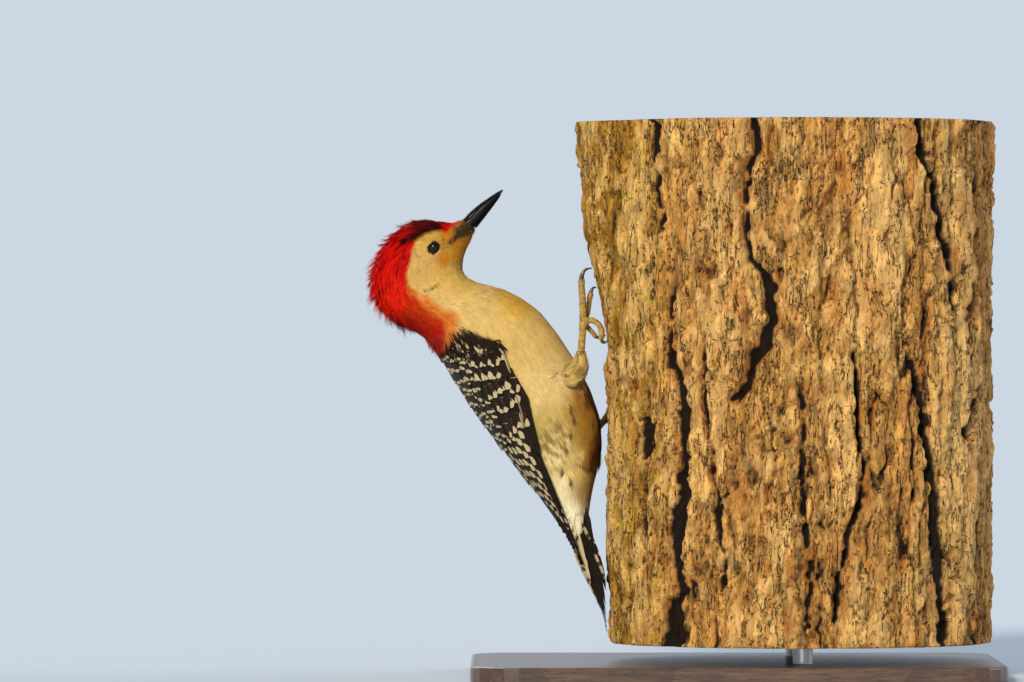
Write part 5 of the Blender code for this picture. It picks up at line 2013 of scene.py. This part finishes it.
def bark_masks(surface, radius, relief, deep, tone):
    """Colour bark of the mesh: depth in fissures and furrows, which the finish turns into painted shade,
    tone, bare orange inner bark, and lichen.
    """
    furrow = ramp(blurred(radius, 40) - radius, 0.3, 2.6)
    depth = np.clip(np.maximum(furrow * 0.5, deep) + ramp(relief, -1.8, -5.5) * 0.5, 0, 1)
    bare = ramp(cloud(surface / (9, 9, 40), 3, 101), 0.66, 0.70) * ramp(depth, 0.9, 0.3)
    lip = ramp(np.abs(blurred(deep, 3) - 0.35), 0.25, 0.05)
    lip = lip * ramp(cloud(surface / (9, 9, 30), 2, 105), 0.54, 0.66)
    front = 0.25 + 0.75 * ramp(surface[..., 0], 60, 20)
    lichen = ramp(cloud(surface / (3.6, 3.6, 4.6), 3, 111), 0.60, 0.68) * ramp(relief, -1.5, 0.5) * front
    return np.stack([depth, tone, np.maximum(bare * 0.5, lip * 0.8), lichen], -1).reshape(-1, 4)


def cut_end(axis, rim, sign):
    """Rings of points of a sawn end with saw marks, from its rim nearly to its middle, and their colours."""
    hub = axis + (0, 0, rim[:, 2].mean())
    rings, colours = [], []
    for k in range(1, CUT_RINGS + 1):
        share = 1 - (k / CUT_RINGS) ** 0.8 * 0.995
        ring = hub + (rim - hub) * share
        marks = 0.35 * np.sin(ring[:, 0] * 0.55 + 0.4 * np.sin(ring[:, 1] * 0.1))
        ring[:, 2] += sign * (marks - 0.6 * (k == 1))
        rings.append(ring)
        colours.append(np.tile((0.0, share, 0.0, 0.0), (BARK_COLUMNS, 1)))
    return rings, colours


def cut_faces(rim_start, first, flip):
    """Faces of a sawn end, whose rings of points follow each other from the first one's index."""
    starts = [rim_start] + [first + k * BARK_COLUMNS for k in range(CUT_RINGS)]
    j = np.arange(BARK_COLUMNS)
    beside = (j + 1) % BARK_COLUMNS
    rings = [np.stack([a + j, a + beside, b + beside, b + j], 1) for a, b in zip(starts, starts[1:])]
    faces = np.concatenate(rings)
    return faces if flip else faces[:, ::-1]


def build_bark():
    """The log: its bark with relief, and its two sawn ends."""
    axis = bird_mm(np.array(middle("stand_rod_1"))) * (1, 0, 0)
    angle = bark_angles()
    outward = np.stack([-np.cos(angle), np.sin(angle), 0 * angle], 1)
    height, radius, surface = log_grid(axis, outward)
    relief, deep, tone = bark_relief(surface, np.broadcast_to(angle[None], radius.shape), surface[..., 2])
    relief = relief * free_share(surface, angle)
    relief = np.minimum(relief, 3.0 + 0.25 * relief)
    from_end = ramp(np.minimum(height - height[0], height[-1] - height), 0, 3)[:, None]
    surface = surface + outward[None] * (relief * (0.35 + 0.65 * from_end))[..., None]
    points, colours = [surface.reshape(-1, 3)], [bark_masks(surface, radius, relief, deep, tone)]
    faces = [tube_faces(BARK_LEVELS, BARK_COLUMNS)]
    side_faces = len(faces[0])
    for level, sign in ((0, -1), (BARK_LEVELS - 1, 1)):
        faces.append(cut_faces(level * BARK_COLUMNS, sum(map(len, points)), sign > 0))
        rings, ring_colours = cut_end(axis, surface[level], sign)
        points += rings
        colours += ring_colours
    faces = np.concatenate(faces)
    log = make_object(
        "trunk_length", np.concatenate(points), faces, bark_finish(), sawn_finish(axis),
        colours={"bark": np.concatenate(colours)},
    )
    sawn = np.arange(len(faces)) >= side_faces
    log.data.polygons.foreach_set("material_index", sawn.astype(np.int32))
    settle(log, "bark", "perch_trunk")


def flakes(f):
    """Tone and edges of the bark's small torn flakes."""
    wander = f.math("MULTIPLY", f.noise(1.0, 4, 0.6, at=f.stretch((420, 420, 260))), 1.6)
    at = f.add("VectorMath", {0: f.stretch((250, 250, 95)), 1: wander}, operation="ADD").outputs[0]
    tone, _, kind = f.split(f.cells(1.0, at=at, output="Color"))
    return tone, f.math("ADD", f.cells(1.0, "DISTANCE_TO_EDGE", at=at), f.math("MULTIPLY", kind, 0.12))


def off_middle(f, scale, detail):
    """How far stretched noise is from its middle level: 0 along thin wandering lines."""
    return f.math("ABSOLUTE", f.math("SUBTRACT", f.noise(1.0, detail, 0.6, at=f.stretch(scale)), 0.5))


def uncracked(f, flake_edge):
    """1 on whole bark, 0 in hairline cracks: long upright ones, short level ones, and the flakes' edges."""
    upright = off_middle(f, (140, 140, 24), 5)
    level = f.math("ADD", off_middle(f, (70, 70, 190), 4), f.remap(f.noise(150, 3), 0.62, 0.54, 0.0, 0.05))
    whole = f.math("MINIMUM", f.remap(upright, 0.002, 0.017), f.remap(level, 0.002, 0.015))
    return f.math("MINIMUM", whole, f.remap(flake_edge, 0.01, 0.07, 0.55, 1.0))


def bark_plates(f, tone, flake_tone, fibre, coarse):
    """Colour of the bark's plates: tan, olive at the log's front, paler where high as a painted highlight,
    orange in patches, and painted shade in small pits.
    """
    tan = f.mix(f.remap(coarse, 0.30, 0.70), (0.280, 0.125, 0.027), (0.780, 0.385, 0.092))
    olive = f.mix(f.remap(coarse, 0.30, 0.70), (0.190, 0.086, 0.008), (0.530, 0.260, 0.027))
    place = f.add("SeparateXYZ", {"Vector": f.place}).outputs[0]
    plate = f.mix(f.remap(place, OLIVE_FADE[1], OLIVE_FADE[0]), tan, olive)
    # painted highlight: high and fibrous places turn pale
    lit = f.remap(f.math("ADD", tone, f.math("MULTIPLY", fibre, 0.8)), 0.75, 1.25)
    plate = f.mix(f.math("MULTIPLY", lit, 0.70), plate, (0.860, 0.520, 0.170))
    wide = f.noise(1.0, 3, at=f.stretch((45, 45, 14)))
    plate = f.mix(f.math("MULTIPLY", f.remap(wide, 0.54, 0.70), 0.55), plate, (0.560, 0.200, 0.036))
    plate = f.mix(1.0, plate, f.math("MULTIPLY_ADD", flake_tone, 0.46, 0.78), "MULTIPLY")
    # painted shade in small pits of the fibres
    return f.mix(f.math("MULTIPLY", f.remap(fibre, 0.46, 0.32), 0.9), plate, (0.034, 0.013, 0.003))


def bark_finish():
    """Weathered bark: tan and olive plates, fissures and hairline cracks painted black as shade, orange inner
    bark and crusts of yellow lichen.
    """
    f = Finish("bark_weathered")
    depth, tone, inner = f.split(f.attribute("bark"))
    lichen = f.attribute("bark", "Alpha")
    fibre = f.noise(1.0, 6, 0.68, at=f.stretch((760, 760, 300)), distortion=0.3)
    coarse = f.noise(1.0, 6, 0.66, at=f.stretch((230, 230, 105)), distortion=0.8)
    flake_tone, flake_edge = flakes(f)
    whole = uncracked(f, flake_edge)
    plate = bark_plates(f, tone, flake_tone, fibre, coarse)
    warm = f.mix(coarse, (0.28, 0.060, 0.006), (0.56, 0.19, 0.026))
    colour = f.mix(f.math("MULTIPLY", inner, f.remap(coarse, 0.35, 0.50)), plate, warm)
    crust = f.math("MULTIPLY", f.remap(lichen, 0.2, 0.6), f.remap(f.noise(1100, 4), 0.46, 0.54))
    colour = f.mix(f.math("MULTIPLY", crust, 0.9), colour, (0.52, 0.34, 0.012))
    # painted shade in hairline cracks and along the flakes' edges
    colour = f.mix(f.math("MULTIPLY", f.remap(whole, 1.0, 0.0), 0.92), colour, (0.022, 0.008, 0.002))
    # painted shade: black deep in fissures and furrows
    colour = f.mix(f.remap(depth, 0.30, 0.85), colour, (0.014, 0.0055, 0.0020))
    f.bump((whole, 0.7), (coarse, 1.1), (fibre, 1.0), (flake_tone, 0.35), (f.noise(2200, 3, 0.7), 0.3))
    rough = f.remap(fibre, 0.2, 0.8, 0.78, 0.96)
    return f.surface(base_color=colour, roughness=rough, specular_ior_level=0.22)


def sawn_finish(axis):
    """The sawn ends: growth rings, darker heartwood, drying cracks and a dark edge of bark."""
    f = Finish("sawn_wood")
    hub = world(axis)
    upright = {"Vector": f.place, "Location": (-hub[0], -hub[1], 0), "Scale": (1, 1, 0.05)}
    at = f.add("Mapping", upright).outputs[0]
    x, y, _ = f.add("SeparateXYZ", {"Vector": at}).outputs
    radius = f.math("SQRT", f.math("ADD", f.math("MULTIPLY", x, x), f.math("MULTIPLY", y, y)))
    radius = f.math("MULTIPLY_ADD", f.noise(26, 3, at=at), 0.012, radius)
    ring = f.math("FRACT", f.math("MULTIPLY", radius, 430.0))
    ray_at = {"X": f.math("MULTIPLY", f.math("ARCTAN2", y, x), 60.0), "Y": f.math("MULTIPLY", radius, 22.0)}
    rays = f.noise(1.0, 3, at=f.add("CombineXYZ", ray_at).outputs[0])
    pale = f.mix(f.remap(ring, 0.55, 1.0), (0.56, 0.38, 0.19), (0.33, 0.19, 0.080))
    colour = f.mix(f.remap(radius, 0.062, 0.048), pale, (0.30, 0.155, 0.066))
    colour = f.mix(f.remap(rays, 0.66, 0.72), colour, (0.10, 0.055, 0.025))
    colour = f.mix(f.remap(radius, 0.088, 0.093), colour, (0.10, 0.045, 0.018))
    f.bump((ring, 0.15), (rays, 0.3))
    return f.surface(base_color=colour, roughness=f.remap(rays, 0.2, 0.8, 0.65, 0.85), specular_ior_level=0.3)


build_bark()


# ---------------------------------------------------------------- stand


def base_finish():
    """Dark walnut under a satin varnish."""
    f = Finish("base_walnut")
    flow = f.noise(5.0, 3, at=f.stretch((0.6, 3.0, 1.0)))
    rings = f.math("FRACT", f.math("MULTIPLY", flow, 9.0))
    grain = f.noise(1.0, 5, 0.65, at=f.stretch((60, 900, 900)))
    pores = f.remap(f.noise(1.0, 2, at=f.stretch((160, 2600, 2600))), 0.60, 0.70)
    colour = f.mix(f.remap(grain, 0.25, 0.75), (0.045, 0.022, 0.012), (0.135, 0.066, 0.034))
    colour = f.mix(f.math("MULTIPLY", f.remap(rings, 0.5, 1.0), 0.5), colour, (0.030, 0.014, 0.008))
    colour = f.mix(pores, colour, (0.018, 0.009, 0.006))
    f.bump((grain, 0.05), (pores, -0.06))
    rough = f.remap(grain, 0.2, 0.8, 0.34, 0.48)
    return f.surface(base_color=colour, roughness=rough, coat_weight=0.35, coat_roughness=0.18)


def rod_finish():
    """Brushed steel with fine turned lines."""
    f = Finish("rod_steel")
    lines = f.noise(1.0, 3, at=f.stretch((300, 300, 9000)))
    colour = f.mix(f.noise(160, 3), (0.50, 0.49, 0.47), (0.66, 0.65, 0.63))
    f.bump((lines, 0.02))
    return f.surface(base_color=colour, metallic=1.0, roughness=f.remap(lines, 0.2, 0.8, 0.24, 0.42))


for finish, nodes in ((base_finish(), ("stand_base",)), (rod_finish(), ("stand_rod_1", "stand_rod_2"))):
    for node in nodes:
        materials = frame["nodes"][node].data.materials
        materials.clear()
        materials.append(finish)


# ---------------------------------------------------------------- studio

FRAME_MIDDLE = Vector((-0.1115, 0.0, 0.1675))
FRAME_WIDTH = 0.512
LENS, FILM = 300.0, 36.0
FLOOR_RADIUS = 40.0
SUNS = (  # name, direction it comes from, strength, width in degrees, colour
    ("key", (-0.38, -1.0, 0.44), 3.3, 10, (1.0, 0.93, 0.80)),
    ("back", (-0.5, 1.0, 0.7), 1.3, 40, (0.92, 0.96, 1.0)),
    ("fill", (1.0, 0.25, 0.4), 1.0, 40, (0.95, 0.97, 1.0)),
)
HORIZON, ZENITH = (0.60, 0.68, 0.76), (0.26, 0.30, 0.36)
SKY_FADE = (0.05, 0.45)  # heights between which the surroundings darken


def floor():
    """A wide pale floor, seen from every side."""
    mesh = bpy.data.meshes.new("floor")
    grid = bmesh.new()
    bmesh.ops.create_circle(grid, cap_ends=True, cap_tris=True, segments=96, radius=FLOOR_RADIUS)
    grid.to_mesh(mesh)
    grid.free()
    f = Finish("floor_paper")
    grain = f.noise(60, 4)
    f.bump((f.noise(900, 3), 0.1))
    colour = f.mix(grain, (0.595, 0.656, 0.722), (0.615, 0.676, 0.742))
    rough = f.remap(grain, 0.2, 0.8, 0.85, 0.95)
    mesh.materials.append(f.surface(base_color=colour, roughness=rough, specular_ior_level=0.0))
    obj = linked("floor", mesh)


def sun(name, source, strength, width, colour):
    """A soft lamp so far away that it lights every place alike."""
    light = bpy.data.lights.new(name, "SUN")
    light.energy, light.angle, light.color = strength, math.radians(width), colour
    linked(name, light).rotation_euler = Vector(source).to_track_quat("Z", "Y").to_euler()


def surroundings():
    """Pale surroundings that darken upwards and meet the floor's own brightness at the horizon."""
    studio = bpy.data.worlds.new("studio")
    studio.use_nodes = True
    tree = studio.node_tree
    place = tree.nodes.new("ShaderNodeTexCoord")
    split = tree.nodes.new("ShaderNodeSeparateXYZ")
    fade = tree.nodes.new("ShaderNodeMapRange")
    fade.interpolation_type = "SMOOTHSTEP"
    fade.inputs["From Min"].default_value, fade.inputs["From Max"].default_value = SKY_FADE
    colour = tree.nodes.new("ShaderNodeMix")
    colour.data_type = "RGBA"
    colour.inputs[6].default_value = (*HORIZON, 1)
    colour.inputs[7].default_value = (*ZENITH, 1)
    tree.links.new(place.outputs["Generated"], split.inputs[0])
    tree.links.new(split.outputs["Z"], fade.inputs["Value"])
    tree.links.new(fade.outputs[0], colour.inputs[0])
    tree.links.new(colour.outputs[2], tree.nodes["Background"].inputs["Color"])
    bpy.context.scene.world = studio


def camera():
    """A long lens, level and square to the log's side, as in the photograph."""
    data = bpy.data.cameras.new("camera")
    data.lens, data.sensor_width = LENS, FILM
    obj = linked("camera", data)
    obj.location = FRAME_MIDDLE - Vector((0, FRAME_WIDTH * LENS / FILM, 0))
    obj.rotation_euler = (math.pi / 2, 0, 0)
    bpy.context.scene.camera = obj


floor()
surroundings()
for lamp in SUNS:
    sun(*lamp)
camera()
bpy.context.scene.view_settings.view_transform = "Standard"
